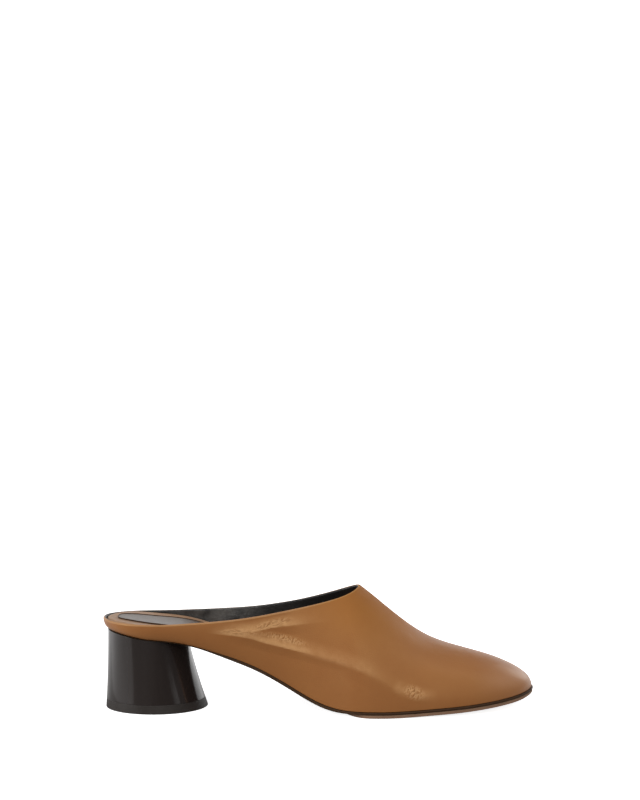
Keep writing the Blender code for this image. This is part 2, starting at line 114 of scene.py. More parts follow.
SOLE_LINE = table(
    "along centre half pitch spring",
    (0.00, 0.000, 0.000, 1.000, 0.00),
    (0.02, 0.000, 0.197, 0.986, 0.00),
    (0.05, 0.000, 0.288, 0.958, 0.00),
    (0.10, 0.000, 0.338, 0.912, 0.00),
    (0.18, 0.000, 0.338, 0.858, 0.00),
    (0.26, -0.005, 0.320, 0.731, 0.00),
    (0.34, -0.015, 0.292, 0.560, 0.00),
    (0.42, -0.028, 0.280, 0.312, 0.00),
    (0.50, -0.037, 0.340, 0.070, 0.00),
    (0.54, -0.039, 0.396, 0.012, 0.00),
    (0.58, -0.039, 0.453, 0.000, 0.00),
    (0.64, -0.022, 0.496, 0.000, 0.00),
    (0.74, 0.003, 0.495, 0.000, 0.15),
    (0.82, 0.021, 0.456, 0.000, 0.28),
    (0.90, 0.042, 0.368, 0.000, 0.48),
    (0.96, 0.060, 0.249, 0.000, 0.72),
    (1.00, 0.071, 0.000, 0.000, 1.00),
)
UPPER_LINE = table(
    "along crest brim shift flare low swell shoulder over",
    (0.00, 0.000, 1.35, 0.000, 0.050, 0.12, 0.046, 0.00, 0.00),
    (0.10, 0.000, 1.60, 0.000, 0.044, 0.12, 0.058, 0.00, 0.06),
    (0.18, 0.060, 1.55, 0.000, 0.044, 0.13, 0.060, 0.00, 0.10),
    (0.26, 0.250, 1.20, 0.005, 0.041, 0.17, 0.050, 0.02, 0.20),
    (0.34, 0.520, 0.60, 0.012, 0.038, 0.26, 0.034, 0.08, 0.40),
    (0.42, 0.860, 0.20, 0.022, 0.036, 0.33, 0.014, 0.18, 0.70),
    (0.50, 1.100, 0.00, 0.032, 0.026, 0.42, 0.000, 0.30, 1.00),
    (0.58, 1.006, 0.00, 0.038, 0.018, 0.48, 0.000, 0.36, 1.00),
    (0.66, 0.772, 0.00, 0.040, 0.014, 0.50, 0.000, 0.40, 1.00),
    (0.74, 0.545, 0.00, 0.042, 0.012, 0.52, 0.000, 0.42, 1.00),
    (0.82, 0.417, 0.00, 0.036, 0.010, 0.54, 0.000, 0.44, 1.00),
    (0.90, 0.313, 0.00, 0.024, 0.008, 0.55, 0.000, 0.45, 1.00),
    (0.96, 0.196, 0.00, 0.012, 0.004, 0.55, 0.000, 0.45, 1.00),
    (1.00, 0.000, 0.00, 0.000, 0.000, 0.55, 0.000, 0.45, 1.00),
)
COLLAR_LINE = table(
    "along climb",
    (0.00, 0.055),
    (0.06, 0.015),
    (0.15, 0.000),
    (0.25, 0.008),
    (0.35, 0.048),
    (0.50, 0.120),
    (0.60, 0.210),
    (0.70, 0.345),
    (0.80, 0.515),
    (0.90, 0.715),
    (1.00, 1.000),
)
FOOTBED_LINE = table(
    "along thick",
    (0.00, 0.80),
    (0.03, 0.88),
    (0.09, 1.02),
    (0.15, 1.02),
    (0.25, 1.06),
    (0.33, 0.98),
    (0.42, 0.78),
    (0.52, 0.55),
    (0.62, 0.46),
    (1.00, 0.44),
)

# %% [markdown]
# ### Smooth curves
#
# Straight lines between the rows would show as flats on the leather. A cubic curve through the rows, with
# an even slope and bend at each of them, is what a bent spline of wood would draw. It could be a Blender
# curve too, but then it could not be asked for its value at thousands of angles at once.

# %% Smooth curves through the tables


def turn(along):
    """The angle for a share of the length."""
    return np.arccos(np.clip(1.0 - 2.0 * np.asarray(along, float), -1.0, 1.0))


def share(angle):
    """The share of the length for an angle."""
    return (1.0 - np.cos(angle)) / 2.0


def mix(a, b, t):
    return a + (b - a) * t


def ease(start, stop, value):
    """0 at start, 1 at stop, smooth between and level beyond."""
    t = np.clip((value - start) / (stop - start), 0.0, 1.0)
    return t * t * (3.0 - 2.0 * t)


def spline(line, column, heel_end=1, toe_end=1):
    """A smooth curve through a column. An end of 1 is level there, an end of -1 runs through zero."""
    angles, values = turn(line["along"]), line[column]
    x = np.concatenate([-angles[:0:-1], angles, 2 * math.pi - angles[-2::-1]])
    y = np.concatenate([heel_end * values[:0:-1], values, toe_end * values[-2::-1]])
    gap = np.diff(x)
    rise = np.diff(y) / gap
    system, right = np.eye(len(x)), np.zeros(len(x))
    right[0], right[-1] = rise[0], rise[-1]
    for i in range(1, len(x) - 1):
        system[i, i - 1 : i + 2] = 1 / gap[i - 1], 2 * (1 / gap[i - 1] + 1 / gap[i]), 1 / gap[i]
        right[i] = 3 * (rise[i - 1] / gap[i - 1] + rise[i] / gap[i])
    slope = np.linalg.solve(system, right)

    def at(angle):
        i = np.clip(np.searchsorted(x, angle) - 1, 0, len(x) - 2)
        t = (angle - x[i]) / gap[i]
        value = y[i] * (1 + 2 * t) * (1 - t) ** 2 + y[i + 1] * t * t * (3 - 2 * t)
        return value + gap[i] * (slope[i] * t * (1 - t) ** 2 - slope[i + 1] * t * t * (1 - t))

    return at


CENTRE = spline(SOLE_LINE, "centre")
HALF = spline(SOLE_LINE, "half", -1, -1)
PITCH = spline(SOLE_LINE, "pitch")
SPRING = spline(SOLE_LINE, "spring")
CREST = spline(UPPER_LINE, "crest", 1, -1)
BRIM = spline(UPPER_LINE, "brim")
SHIFT = spline(UPPER_LINE, "shift", -1, -1)
FLARE = spline(UPPER_LINE, "flare", 1, -1)
LOW = spline(UPPER_LINE, "low")
SWELL = spline(UPPER_LINE, "swell")
SHOULDER = spline(UPPER_LINE, "shoulder")
OVER = spline(UPPER_LINE, "over")
CLIMB = spline(COLLAR_LINE, "climb")
FOOTBED = spline(FOOTBED_LINE, "thick")
print("ball half widths", np.round(1000 * BALL_WIDTH * HALF(turn([0.5, 0.64, 0.9])), 1), "mm")

# %% [markdown]
# ## From a point on the last to a point in space
#
# A place on the upper is told by three numbers: how far along the shoe, on which side, and how far the
# leather has wrapped from the feather edge (0) to the crest over the instep (1). The heights come from the
# pitch of the seat, the flat spot under the ball and the toe spring. The model's own box tells where the
# last lies in the frame, so nothing is fitted by eye.

# %% Points of the last
ANGLE_STEP = 0.0005
HALVINGS = 40


def feather_height(angle):
    """Height of the sole's top."""
    along = share(angle)
    pitch = np.where(along < FLAT_FROM, np.maximum(0.0, PITCH(angle)), 0.0)
    spring = np.where(along > FLAT_TO, np.maximum(0.0, SPRING(angle)), 0.0)
    return STACK + pitch * (SEAT_HEIGHT - STACK) + spring * TOE_SPRING


def height_at(x):
    return feather_height(turn(x / LAST_LENGTH))


def outline(angle, side):
    return LAST_LENGTH * share(angle), BALL_WIDTH * (CENTRE(angle) + side * HALF(angle))


def square(angle, side):
    """The direction square to the feather edge in plan, pointing out of the shoe."""
    x0, y0 = outline(angle - ANGLE_STEP, side)
    x1, y1 = outline(angle + ANGLE_STEP, side)
    length = np.hypot(x1 - x0, y1 - y0)
    return -side * (y1 - y0) / length, side * (x1 - x0) / length


def outward(angle, side):
    """Square to the seat, straight across from the waist on."""
    x, y = square(angle, side)
    t = ease(SQUARE_UNTIL, ACROSS_FROM, share(angle))
    x, y = mix(x, 0.0, t), mix(y, side, t)
    length = np.hypot(x, y)
    return x / length, y / length


def crest_height(angle):
    return np.maximum(0.0, INSTEP_RISE * CREST(angle) + RIM_HEIGHT * BRIM(angle))


def section(angle, side, wrap):
    """How far out and up the wall is at a wrap."""
    rise = crest_height(angle)
    reach = BALL_WIDTH * (HALF(angle) - side * SHIFT(angle))
    out_high = BALL_WIDTH * SWELL(angle) - SHOULDER(angle) * reach
    first, second, third = 3 * wrap * (1 - wrap) ** 2, 3 * wrap * wrap * (1 - wrap), wrap**3
    out = first * BALL_WIDTH * FLARE(angle) + second * out_high - third * OVER(angle) * reach
    return out, (first * LOW(angle) + second + third) * rise


def wrap_at(angle, side, up):
    """The wrap at which the wall reaches a height, found by halving."""
    below, above = np.zeros_like(angle), np.ones_like(angle)
    for _ in range(HALVINGS):
        middle = (below + above) / 2
        short = section(angle, side, middle)[1] < up
        below, above = np.where(short, middle, below), np.where(short, above, middle)
    return (below + above) / 2


# %% [markdown]
# ### Where the last lies
#
# The solids were centred over the floor after they were drawn, so the back of the last is no longer at
# zero. The sole's own box gives it back: its rear end is the back of the last, and its outer side is the
# widest place of the feather edge with the sole's margin added.

# %% Where the last lies in the frame
SOLE_MARGIN = 0.0008
MARGIN_FROM, MARGIN_FULL = 0.28, 0.44
last_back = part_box("sole")[0].x
edge_angles = np.linspace(0.0, math.pi, 97)


def sole_margin(angle):
    """The sole is flush with the seat and stands out a little round the forepart."""
    return SOLE_MARGIN * ease(MARGIN_FROM, MARGIN_FULL, share(angle))


def edge_plan(angle, side, distance):
    """A point in plan beside the feather edge, square to it."""
    x, y = outline(angle, side)
    step_x, step_y = square(angle, side)
    return x + distance * step_x, y + distance * step_y


last_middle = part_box("sole")[0].y - edge_plan(edge_angles, OUTER, sole_margin(edge_angles))[1].min()
PLACE = np.array([last_back, last_middle, 0.0])
print("the last's back lies at", np.round(1000 * PLACE, 2), "mm")


def wall_point(angle, side, wrap):
    """A point of the upper's outer skin, in the frame."""
    x, y = outline(angle, side)
    out, up = section(angle, side, wrap)
    step_x, step_y = outward(angle, side)
    z = feather_height(angle) + FIT_GAP + up
    return np.stack([x + out * step_x, y + out * step_y, z], axis=-1) + PLACE


# %% [markdown]
# ## The cut of the upper
#
# The vamp, the quarters and the low rim round the heel seat are one piece of leather, so the skin is one
# sheet too. It is drawn as spokes that run from the sole edge up to the collar: straight up round the heel,
# and fanned round the throat further forward. Rings of points along the spokes make an even net that can
# take creases later.

# %% The net of the upper's skin
SPOKES = 240
RINGS = 130
RING_CROWDING = 0.8
FAN_FROM, FAN_CLOSE = 0.26, 0.55
NO_ROOM = 1e-6
THROAT_SHARE = THROAT_REACH / LAST_LENGTH
RIM_TOP = float(feather_height(turn(SEAT_MIDDLE)) + RIM_HEIGHT)
THROAT_TOP = float(feather_height(turn(THROAT_SHARE)) + crest_height(turn(THROAT_SHARE)))


def collar_wrap(collar_angle, side):
    """Angle and wrap of the collar, for an angle that runs from the back to the throat."""
    angle = turn(THROAT_SHARE * share(collar_angle))
    height = mix(RIM_TOP, THROAT_TOP, CLIMB(collar_angle))
    return angle, wrap_at(angle, side, height - feather_height(angle))


def collar_turn(angle):
    """The collar angle that a spoke from the sole edge runs up to."""
    fan = float(turn(FAN_FROM))
    start = np.arccos(np.clip(1.0 - (1.0 - np.cos(np.minimum(angle, fan))) / THROAT_SHARE, -1.0, 1.0))
    first = math.acos(1.0 - (1.0 - math.cos(fan)) / THROAT_SHARE)
    run, rise = math.pi - fan, math.pi - first
    leave = math.sin(fan) / (THROAT_SHARE * math.sin(first)) * run
    t = np.clip((angle - fan) / run, 0.0, 1.0)
    bend = leave * t * (1 - t) ** 2 - FAN_CLOSE * rise * t * t * (1 - t)
    return np.where(angle <= fan, start, first + rise * t * t * (3 - 2 * t) + bend)


def upper_net(angle, side):
    """Points of the skin as spokes by rings."""
    top_angle, top_wrap = collar_wrap(collar_turn(angle), side)
    angle, side = angle[:, None], side[:, None]
    top_angle, top_wrap = top_angle[:, None], top_wrap[:, None]
    even = np.arange(RINGS + 1)[None, :] / RINGS
    t = mix(even, 1.0 - np.cos(even * math.pi / 2), RING_CROWDING)
    here = turn(mix(share(angle), share(top_angle), t))
    room = np.sin(here)
    wide = mix(np.sin(angle), np.sin(top_angle) * (1.0 - top_wrap), t)
    wrap = np.where(room > NO_ROOM, 1.0 - wide / np.maximum(room, NO_ROOM), top_wrap * t)
    wrap[:, 0] = 0.0
    return wall_point(here, side + 0.0 * here, np.clip(wrap, 0.0, 1.0))


spoke_angles = np.linspace(0.0, math.pi, SPOKES + 1)
ring_angles = np.concatenate([spoke_angles, spoke_angles[-2:0:-1]])
ring_sides = np.concatenate([np.full(SPOKES + 1, OUTER), np.full(SPOKES - 1, INNER)])
net = upper_net(ring_angles, ring_sides)
print("net of the upper:", net.shape[0], "spokes by", net.shape[1], "rings")

# %% [markdown]
# ## Room for the folded edge
#
# At the collar the leather is turned over the edge of the lining, so the top is a small round, not a cut
# sheet. The net is shortened by half the wall there, and the round is added on top later. That keeps the
# collar line at the height of the solid.

# %% Shorten the spokes for the fold
WALL = 0.0019
FOLD = WALL / 2


def shorten(points, cut):
    """The same spokes, ending a given length before the collar."""
    made = np.empty_like(points)
    for i, spoke in enumerate(points):
        run = np.concatenate([[0.0], np.cumsum(np.linalg.norm(np.diff(spoke, axis=0), axis=1))])
        for axis in range(3):
            made[i, :, axis] = np.interp(run * (run[-1] - cut) / run[-1], run, spoke[:, axis])
    return made


def net_normals(points):
    """Directions out of the skin, from the net's own neighbours."""
    round_shoe = np.roll(points, -1, axis=0) - np.roll(points, 1, axis=0)
    up_spoke = np.gradient(points, axis=1)
    normal = np.cross(round_shoe, up_spoke)
    length = np.linalg.norm(normal, axis=2, keepdims=True)
    return normal / np.maximum(length, 1e-12)


skin = shorten(net, FOLD)
normals = net_normals(skin)
print("collar length", round(1000 * np.linalg.norm(np.diff(skin[:, -1], axis=0), axis=1).sum()), "mm")

# %% [markdown]
# ## Creases and swells
#
# Thin leather pulled over a last is never a perfect surface. Two folds fork from the low quarter. The lower
# one runs down to the ball, the upper one dies out under the throat, and between them the leather hollows.
# Each is a stroke: a line of places on the upper, a height and two reaches. A stroke has a soft crest and
# runs out slowly above it and faster below it, as a fold does that hangs from its upper side. A minus
# height is a trough. The strokes push the skin along its own normals.

# %% Strokes on the upper
# side, reach above and below in mm, softness of the crest in mm, height in mm, and the places as
# (share of the length, wrap)
STROKES = [
    (
        OUTER, 7.5, 4.5, 0.8, 0.95,
        [(0.245, 0.400), (0.302, 0.367), (0.338, 0.337), (0.372, 0.302), (0.406, 0.287), (0.453, 0.273),
         (0.499, 0.263), (0.556, 0.257), (0.601, 0.243)],
    ),
    (
        OUTER, 8.0, 6.0, 2.2, 0.50,
        [(0.499, 0.263), (0.556, 0.257), (0.601, 0.243), (0.635, 0.220), (0.662, 0.187), (0.690, 0.140),
         (0.715, 0.097)],
    ),
    (
        OUTER, 5.5, 5.0, 1.0, 0.60,
        [(0.250, 0.416), (0.300, 0.412), (0.340, 0.408), (0.362, 0.418), (0.379, 0.432), (0.401, 0.437),
         (0.430, 0.438), (0.464, 0.445), (0.520, 0.475)],
    ),
    (OUTER, 4.4, 3.4, 1.0, 0.30, [(0.690, 0.150), (0.720, 0.130), (0.760, 0.120)]),
    (OUTER, 12.0, 9.0, 3.0, 0.50, [(0.72, 0.45), (0.80, 0.40), (0.90, 0.40)]),
    (INNER, 7.0, 4.0, 1.2, 0.60, [(0.30, 0.36), (0.38, 0.32), (0.46, 0.30), (0.56, 0.28), (0.64, 0.22)]),
    (INNER, 6.0, 5.0, 2.0, -0.30, [(0.40, 0.50), (0.50, 0.46), (0.58, 0.44)]),
]
COLLAR_ROLL = 0.00055
COLLAR_ROLL_REACH = 0.0065
MM = 0.001
CREST_SIDE = 0.4
STROKE_FADE = 0.3


def stroke_line(side, places, steps=24):
    """Points in space along a stroke."""
    places = np.array(places)
    knots = np.linspace(0.0, 1.0, len(places))
    t = np.linspace(0.0, 1.0, steps)
    along, wrap = np.interp(t, knots, places[:, 0]), np.interp(t, knots, places[:, 1])
    return wall_point(turn(along), side + 0.0 * along, wrap)


def beside_stroke(points, side, places):
    """For each point: the distance to a stroke, how far it lies above it, and how far along it."""
    line = stroke_line(side, places)
    nearest = np.full(points.shape[:-1], np.inf)
    at = np.zeros(points.shape[:-1])
    over = np.zeros(points.shape[:-1])
    for i in range(len(line) - 1):
        start, run = line[i], line[i + 1] - line[i]
        t = np.clip((points - start) @ run / (run @ run), 0.0, 1.0)
        offset = points - start - t[..., None] * run
        distance = np.linalg.norm(offset, axis=-1)
        closer = distance < nearest
        nearest, over = np.where(closer, distance, nearest), np.where(closer, offset[..., 2], over)
        at = np.where(closer, (i + t) / (len(line) - 1), at)
    return nearest, over, at


def stroke_height(points, side, above, below, crest, height, places):
    """How far a stroke lifts each point."""
    nearest, over, at = beside_stroke(points, side, places)
    reach = MM * mix(below, above, ease(-CREST_SIDE, CREST_SIDE, over / MM))
    soft = np.sqrt(nearest**2 + (crest * MM) ** 2) - crest * MM
    fade = ease(0.0, STROKE_FADE, at) * ease(0.0, STROKE_FADE, 1.0 - at)
    return height * MM * fade * np.clip(1.0 - soft / reach, 0.0, 1.0) ** 1.6


def collar_roll(points, along):
    """The quarter's edge stands out a little below the collar's middle."""
    steps = np.linalg.norm(np.diff(points, axis=1), axis=2)
    to_collar = np.zeros(points.shape[:2])
    to_collar[:, :-1] = np.cumsum(steps[:, ::-1], axis=1)[:, ::-1]
    where = ease(0.22, 0.29, along) * ease(0.47, 0.38, along)
    return COLLAR_ROLL * where * np.clip(1.0 - to_collar / COLLAR_ROLL_REACH, 0.0, 1.0) ** 1.4


lift = sum(stroke_height(skin, *stroke) for stroke in STROKES)
lift = lift + collar_roll(skin, (skin[..., 0] - PLACE[0]) / LAST_LENGTH)
skin = skin + lift[..., None] * normals
normals = net_normals(skin)
print(len(STROKES), "strokes, from", round(lift.min() / MM, 2), "to", round(lift.max() / MM, 2), "mm")

# %% [markdown]
# ## Meshes from nets
#
# Most pieces of a shoe are nets that close on themselves one way: spokes round the shoe, or sections along
# it. One helper turns such a net into a mesh object, joins doubled points at the pointed ends and makes the
# faces look outward.

# %% A helper for closed nets


def net_object(name, points, close_rows=True, close_columns=False):
    """A mesh of quads over a net of points."""
    rows, columns = points.shape[:2]
    index = np.arange(rows * columns).reshape(rows, columns)
    if close_rows:
        index = np.vstack([index, index[:1]])
    if close_columns:
        index = np.hstack([index, index[:, :1]])
    a, b, c, d = index[:-1, :-1], index[1:, :-1], index[1:, 1:], index[:-1, 1:]
    faces = np.stack([a, b, c, d], axis=-1).reshape(-1, 4)
    mesh = bpy.data.meshes.new(name)
    mesh.from_pydata(points.reshape(-1, 3).tolist(), [], faces.tolist())
    edit = bmesh.new()
    edit.from_mesh(mesh)
    bmesh.ops.remove_doubles(edit, verts=edit.verts, dist=2e-6)
    bmesh.ops.dissolve_degenerate(edit, edges=edit.edges, dist=2e-6)
    open_edges = [edge for edge in edit.edges if edge.is_boundary]
    if open_edges and close_columns:
        bmesh.ops.holes_fill(edit, edges=open_edges)
    bmesh.ops.recalc_face_normals(edit, faces=edit.faces)
    edit.to_mesh(mesh)
    edit.free()
    mesh.shade_smooth()
    piece = bpy.data.objects.new(name, mesh)
    bpy.context.scene.collection.objects.link(piece)
    print(name, len(mesh.polygons), "faces")
    return piece


def dress(piece, node):
    """The piece rides with the shoe and stands for its solid."""
    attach(piece, "root")
    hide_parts(node)
    return piece


# %% [markdown]
# ## Where the leather is stretched, and its painted highlights
#
# A waxy calf turns paler where it is bent over a fold, because the wax leaves the stretched grain. The pale
# bands are also a painted highlight on the lit side of each fold. It could be a noise texture, but then it
# would not sit on the folds. So the skin carries a value, 0 to 1, written to its points beside the same
# strokes, and the finish reads it later. It covers most of the light side above each crest and hardly
# anything below it.

# %% Stretched places and painted highlights
# side, reach above and below in mm, value, and the places as (share of the length, wrap)
STRETCH_AND_HIGHLIGHT_BANDS = [
    (
        OUTER, 6.5, 0.8, 1.00,
        [(0.232, 0.408), (0.302, 0.367), (0.338, 0.337), (0.372, 0.302), (0.406, 0.287), (0.453, 0.273),
         (0.499, 0.263), (0.560, 0.256)],
    ),
    (
        OUTER, 8.5, 2.4, 0.42,
        [(0.440, 0.275), (0.499, 0.263), (0.556, 0.257), (0.601, 0.243), (0.650, 0.205)],
    ),
    (
        OUTER, 7.0, 0.8, 0.85,
        [(0.235, 0.414), (0.300, 0.412), (0.340, 0.408), (0.362, 0.418), (0.379, 0.432), (0.401, 0.437),
         (0.430, 0.438), (0.464, 0.445), (0.540, 0.480)],
    ),
    (OUTER, 6.5, 4.0, 0.38, [(0.660, 0.190), (0.700, 0.145), (0.735, 0.130), (0.775, 0.125)]),
]
STRETCH_AND_HIGHLIGHT_SIDE = 0.3
STRETCH_AND_HIGHLIGHT_STARTS, STRETCH_AND_HIGHLIGHT_ENDS = 0.14, 0.35


def stretch_and_highlight_at(points):
    """How pale the leather is, 0 to 1, from stretch and from a painted highlight."""
    most = np.zeros(points.shape[:-1])
    for side, above, below, value, places in STRETCH_AND_HIGHLIGHT_BANDS:
        nearest, over, at = beside_stroke(points, side, places)
        reach = MM * mix(below, above, ease(-STRETCH_AND_HIGHLIGHT_SIDE, STRETCH_AND_HIGHLIGHT_SIDE, over / MM))
        fade = ease(0.0, STRETCH_AND_HIGHLIGHT_STARTS, at) * ease(0.0, STRETCH_AND_HIGHLIGHT_ENDS, 1.0 - at)
        most = np.maximum(most, value * fade * ease(1.0, 0.0, nearest / reach))
    return most


def paint(piece, name, value_at):
    """Writes a value to every vertex of a piece."""
    points = np.array([vertex.co for vertex in piece.data.vertices])
    values = value_at(points)
    piece.data.attributes.new(name, "FLOAT", "POINT").data.foreach_set("value", values.astype(np.float32))
    print(name, "covers", int((values > 0.1).sum()), "of", len(values), "points")


# %% [markdown]
# ## The upper: leather outside, folded at the collar
#
# The outer skin starts under the shoe, where the lasted edge is turned in on the sole, runs up to the
# collar and ends on top of the fold. The black lining is a skin of its own. It comes up the inside, over
# the inner half of the fold, so that from above the collar shows a fine tan line beside a black one.

# %% Outer leather and lining
FOLD_STEPS = 10
TURNED_IN = 0.0020
SKIN_GAP = 0.0001
TAN_UNTIL = math.radians(84.0)
LINING_TUCKED = 0.4
up_spoke = skin[:, -1] - skin[:, -4]
up_spoke /= np.linalg.norm(up_spoke, axis=1, keepdims=True)
top_normal = normals[:, -1]
fold_middle = skin[:, -1] - FOLD * top_normal


def round_the_fold(first, last, radius):
    """Rings round the fold between two angles, 0 outside and pi inside."""
    turned = np.linspace(first, last, FOLD_STEPS + 1)
    rings = [fold_middle + radius * (math.cos(t) * top_normal + math.sin(t) * up_spoke) for t in turned]
    return np.stack(rings, axis=1)


inward = -np.stack([*square(ring_angles, ring_sides), 0 * ring_angles], axis=-1)
turned_in = skin[:, 0] + TURNED_IN * inward
tan_round = round_the_fold(0.0, TAN_UNTIL, FOLD)[:, 1:]
tucked = round_the_fold(TAN_UNTIL, TAN_UNTIL, FOLD * 0.6)[:, :1]
leather_net = np.concatenate([turned_in[:, None], skin], axis=1)
upper_leather = dress(net_object("upper_leather", leather_net), "upper")
# The stretch value is partly a painted highlight on the lit side of the folds.
paint(upper_leather, "stretch_and_highlight", stretch_and_highlight_at)
edge_net = np.concatenate([skin[:, -1:], tan_round, tucked], axis=1)
collar_edge = dress(net_object("collar_edge", edge_net), "upper")

inside = skin - (WALL - SKIN_GAP) * normals
inside[:, 0] = turned_in
lining_round = round_the_fold(TAN_UNTIL - LINING_TUCKED, math.pi, FOLD - SKIN_GAP)[:, ::-1]
lining_net = np.concatenate([inside[:, :-1:2], lining_round], axis=1)
upper_lining = dress(net_object("upper_lining", lining_net), "upper")

# %% [markdown]
# ## Slabs with soft edges
#
# Sole, half sole, footbed and sock pad are all slabs with the foot's outline. A slab is drawn as sections
# across the shoe. Each section is a closed loop: over the top, round one edge, back underneath and round
# the other edge. The edges are rounded because a real edge is sanded, skived or wrapped, and the thin line
# of light on it is what tells the eye how thick the piece is.

# %% A helper for slabs


def slab_net(angles, edge, top, bottom, columns, top_round, bottom_round, steps=4):
    """Loops across a slab. edge(angle, side, inset) is in plan, top(x, y) and bottom(x, y) are heights."""
    quarter = np.linspace(0.0, math.pi / 2, steps + 1)
    loops = []

    def row(side_a, side_b, inset, surface, drop):
        xa, ya = edge(angles, side_a, inset)
        xb, yb = edge(angles, side_b, inset)
        for t in np.linspace(0.0, 1.0, columns + 1):
            x, y = mix(xa, xb, t), mix(ya, yb, t)
            loops.append(np.stack([x, y, surface(x, y) + drop], axis=-1))

    def edge_round(side, surface, radius, rise, downward):
        for q in quarter[1:-1] if downward else quarter[1:-1][::-1]:
            x, y = edge(angles, side, radius * (1 - math.sin(q)))
            loops.append(np.stack([x, y, surface(x, y) + rise * radius * (1 - math.cos(q))], axis=-1))

    def edge_line(side, surface, drop):
        x, y = edge(angles, side, 0.0)
        loops.append(np.stack([x, y, surface(x, y) + drop], axis=-1))

    row(OUTER, INNER, top_round, top, 0.0)
    edge_round(INNER, top, top_round, -1.0, True)
    edge_line(INNER, top, -top_round)
    edge_line(INNER, bottom, bottom_round)
    edge_round(INNER, bottom, bottom_round, 1.0, False)
    row(INNER, OUTER, bottom_round, bottom, 0.0)
    edge_round(OUTER, bottom, bottom_round, 1.0, True)
    edge_line(OUTER, bottom, bottom_round)
    edge_line(OUTER, top, -top_round)
    edge_round(OUTER, top, top_round, -1.0, False)
    return np.stack(loops, axis=1) + PLACE


# %% [markdown]
# ## Sole and half sole
#
# The long sole is thin leather, dyed dark and waxed at its edge. It shows as a fine dark line from the seat
# to the toe, so it is shaved thin over the heel and under the forepart and keeps its full thickness only at
# the waist. Under the forepart a half sole in bare leather is glued on, with a rounded back end that is
# shaved down to meet the waist. It takes up what the long sole gives away, so the shoe's height stays.

# %% Sole and half sole
THIN_UNTIL, FULL_FROM = 0.20, 0.32
FULL_UNTIL, FORE_FROM = 0.50, 0.60


def sole_thickness(x):
    """Thin over the heel, full at the waist, shaved again where the half sole starts."""
    along = x / LAST_LENGTH
    thick = mix(SOLE_SEAT_THICKNESS, SOLE_THICKNESS, ease(THIN_UNTIL, FULL_FROM, along))
    return mix(thick, SOLE_FORE_THICKNESS, ease(FULL_UNTIL, FORE_FROM, along))


def sole_bottom(x):
    return height_at(x) - sole_thickness(x)


slab_angles = np.linspace(0.0, math.pi, 161)
sole_net = slab_net(
    slab_angles,
    lambda angle, side, inset: edge_plan(angle, side, sole_margin(angle) - inset),
    lambda x, y: height_at(x),
    lambda x, y: sole_bottom(x),
    columns=10,
    top_round=0.0003,
    bottom_round=0.0003,
)
sole_leather = dress(net_object("sole_leather", sole_net, False, True), "sole")

# Shares of the half sole's own length: its rounded back, where it reaches its thickness, where it thins.
TREAD_ROUND_BACK = 0.12
TREAD_THIN_FROM, TREAD_FULL_FROM = -0.05, 0.09
TREAD_TOE_FROM, TREAD_TOE_SHARE = 0.70, 0.7
TREAD_LEAST = 0.0003
TREAD_INSET = 0.0003
TREAD_START = 0.1290
tread_first = float(turn(TREAD_START / LAST_LENGTH))
tread_angles = np.linspace(tread_first, math.pi, 121)


def tread_share(angle):
    return (angle - tread_first) / (math.pi - tread_first)


def tread_edge(angle, side, inset):
    t = tread_share(angle)
    round_back = np.sqrt(np.sin(math.pi / 2 * np.clip(t / TREAD_ROUND_BACK, 0.0, 1.0)))
    x, y = edge_plan(angle, side, sole_margin(angle) - TREAD_INSET - inset)
    middle = BALL_WIDTH * CENTRE(angle)
    return x, mix(middle, y, round_back)


def tread_top(x, y):
    return sole_bottom(x) - FIT_GAP


def tread_bottom(x, y):
    t = tread_share(turn(x / LAST_LENGTH))
    full = TREAD_THICKNESS + SOLE_THICKNESS - sole_thickness(x)
    toe_share = mix(1.0, TREAD_TOE_SHARE, ease(TREAD_TOE_FROM, 1.0, t))
    thick = full * ease(TREAD_THIN_FROM, TREAD_FULL_FROM, t) * toe_share
    return tread_top(x, y) - np.maximum(thick, TREAD_LEAST)


tread_net = slab_net(
    tread_angles, tread_edge, tread_top, tread_bottom, columns=10, top_round=0.0001, bottom_round=0.00015
)
half_sole = dress(net_object("half_sole", tread_net, False, True), "forefoot_tread")

# %% [markdown]
# ## Footbed and sock pad
#
# The footbed is a shaped foam board covered in tan leather. It is dished a little across the foot, and its
# edge is rolled, so it meets the lining in a soft groove. It is drawn with many sections, because the low
# light from behind shows every flat in it.

# %% Footbed
UPPER_WALL = 0.0020
FOOTBED_SIDE_GAP = 0.0005
FOOTBED_THICKNESS = 0.0075
FOOTBED_DISH = 0.0014
DISH_LEAST = 0.5
TOE_ROOM_FROM = 0.80


def footbed_top(x, y):
    angle = turn(x / LAST_LENGTH)
    half = BALL_WIDTH * np.maximum(HALF(angle), DISH_LEAST * HALF(turn(SEAT_MIDDLE)))
    off_middle = (y - BALL_WIDTH * CENTRE(angle)) / half
    dish = FOOTBED_DISH * np.sin(angle) * np.maximum(0.0, 1.0 - off_middle**2)
    return height_at(x) + FIT_GAP + FOOTBED_THICKNESS * FOOTBED(angle) - dish


def footbed_edge(angle, side, inset):
    """The footbed's edge inside the upper's wall, as wide as the room at its top."""
    thick = FOOTBED_THICKNESS * FOOTBED(angle)
    lean = section(angle, side, wrap_at(angle, side, thick))[0]
    lean = lean * (1.0 - ease(SQUARE_UNTIL, ACROSS_FROM, share(angle)))
    clear = (UPPER_WALL + FOOTBED_SIDE_GAP) * (1.0 + ease(TOE_ROOM_FROM, 1.0, share(angle)))
    return edge_plan(angle, side, lean - clear - inset)


footbed_net = slab_net(
    slab_angles,
    footbed_edge,
    footbed_top,
    lambda x, y: height_at(x) + FIT_GAP,
    columns=24,
    top_round=0.0014,
    bottom_round=0.0004,
    steps=6,
)
footbed = dress(net_object("footbed", footbed_net, False, True), "insole")

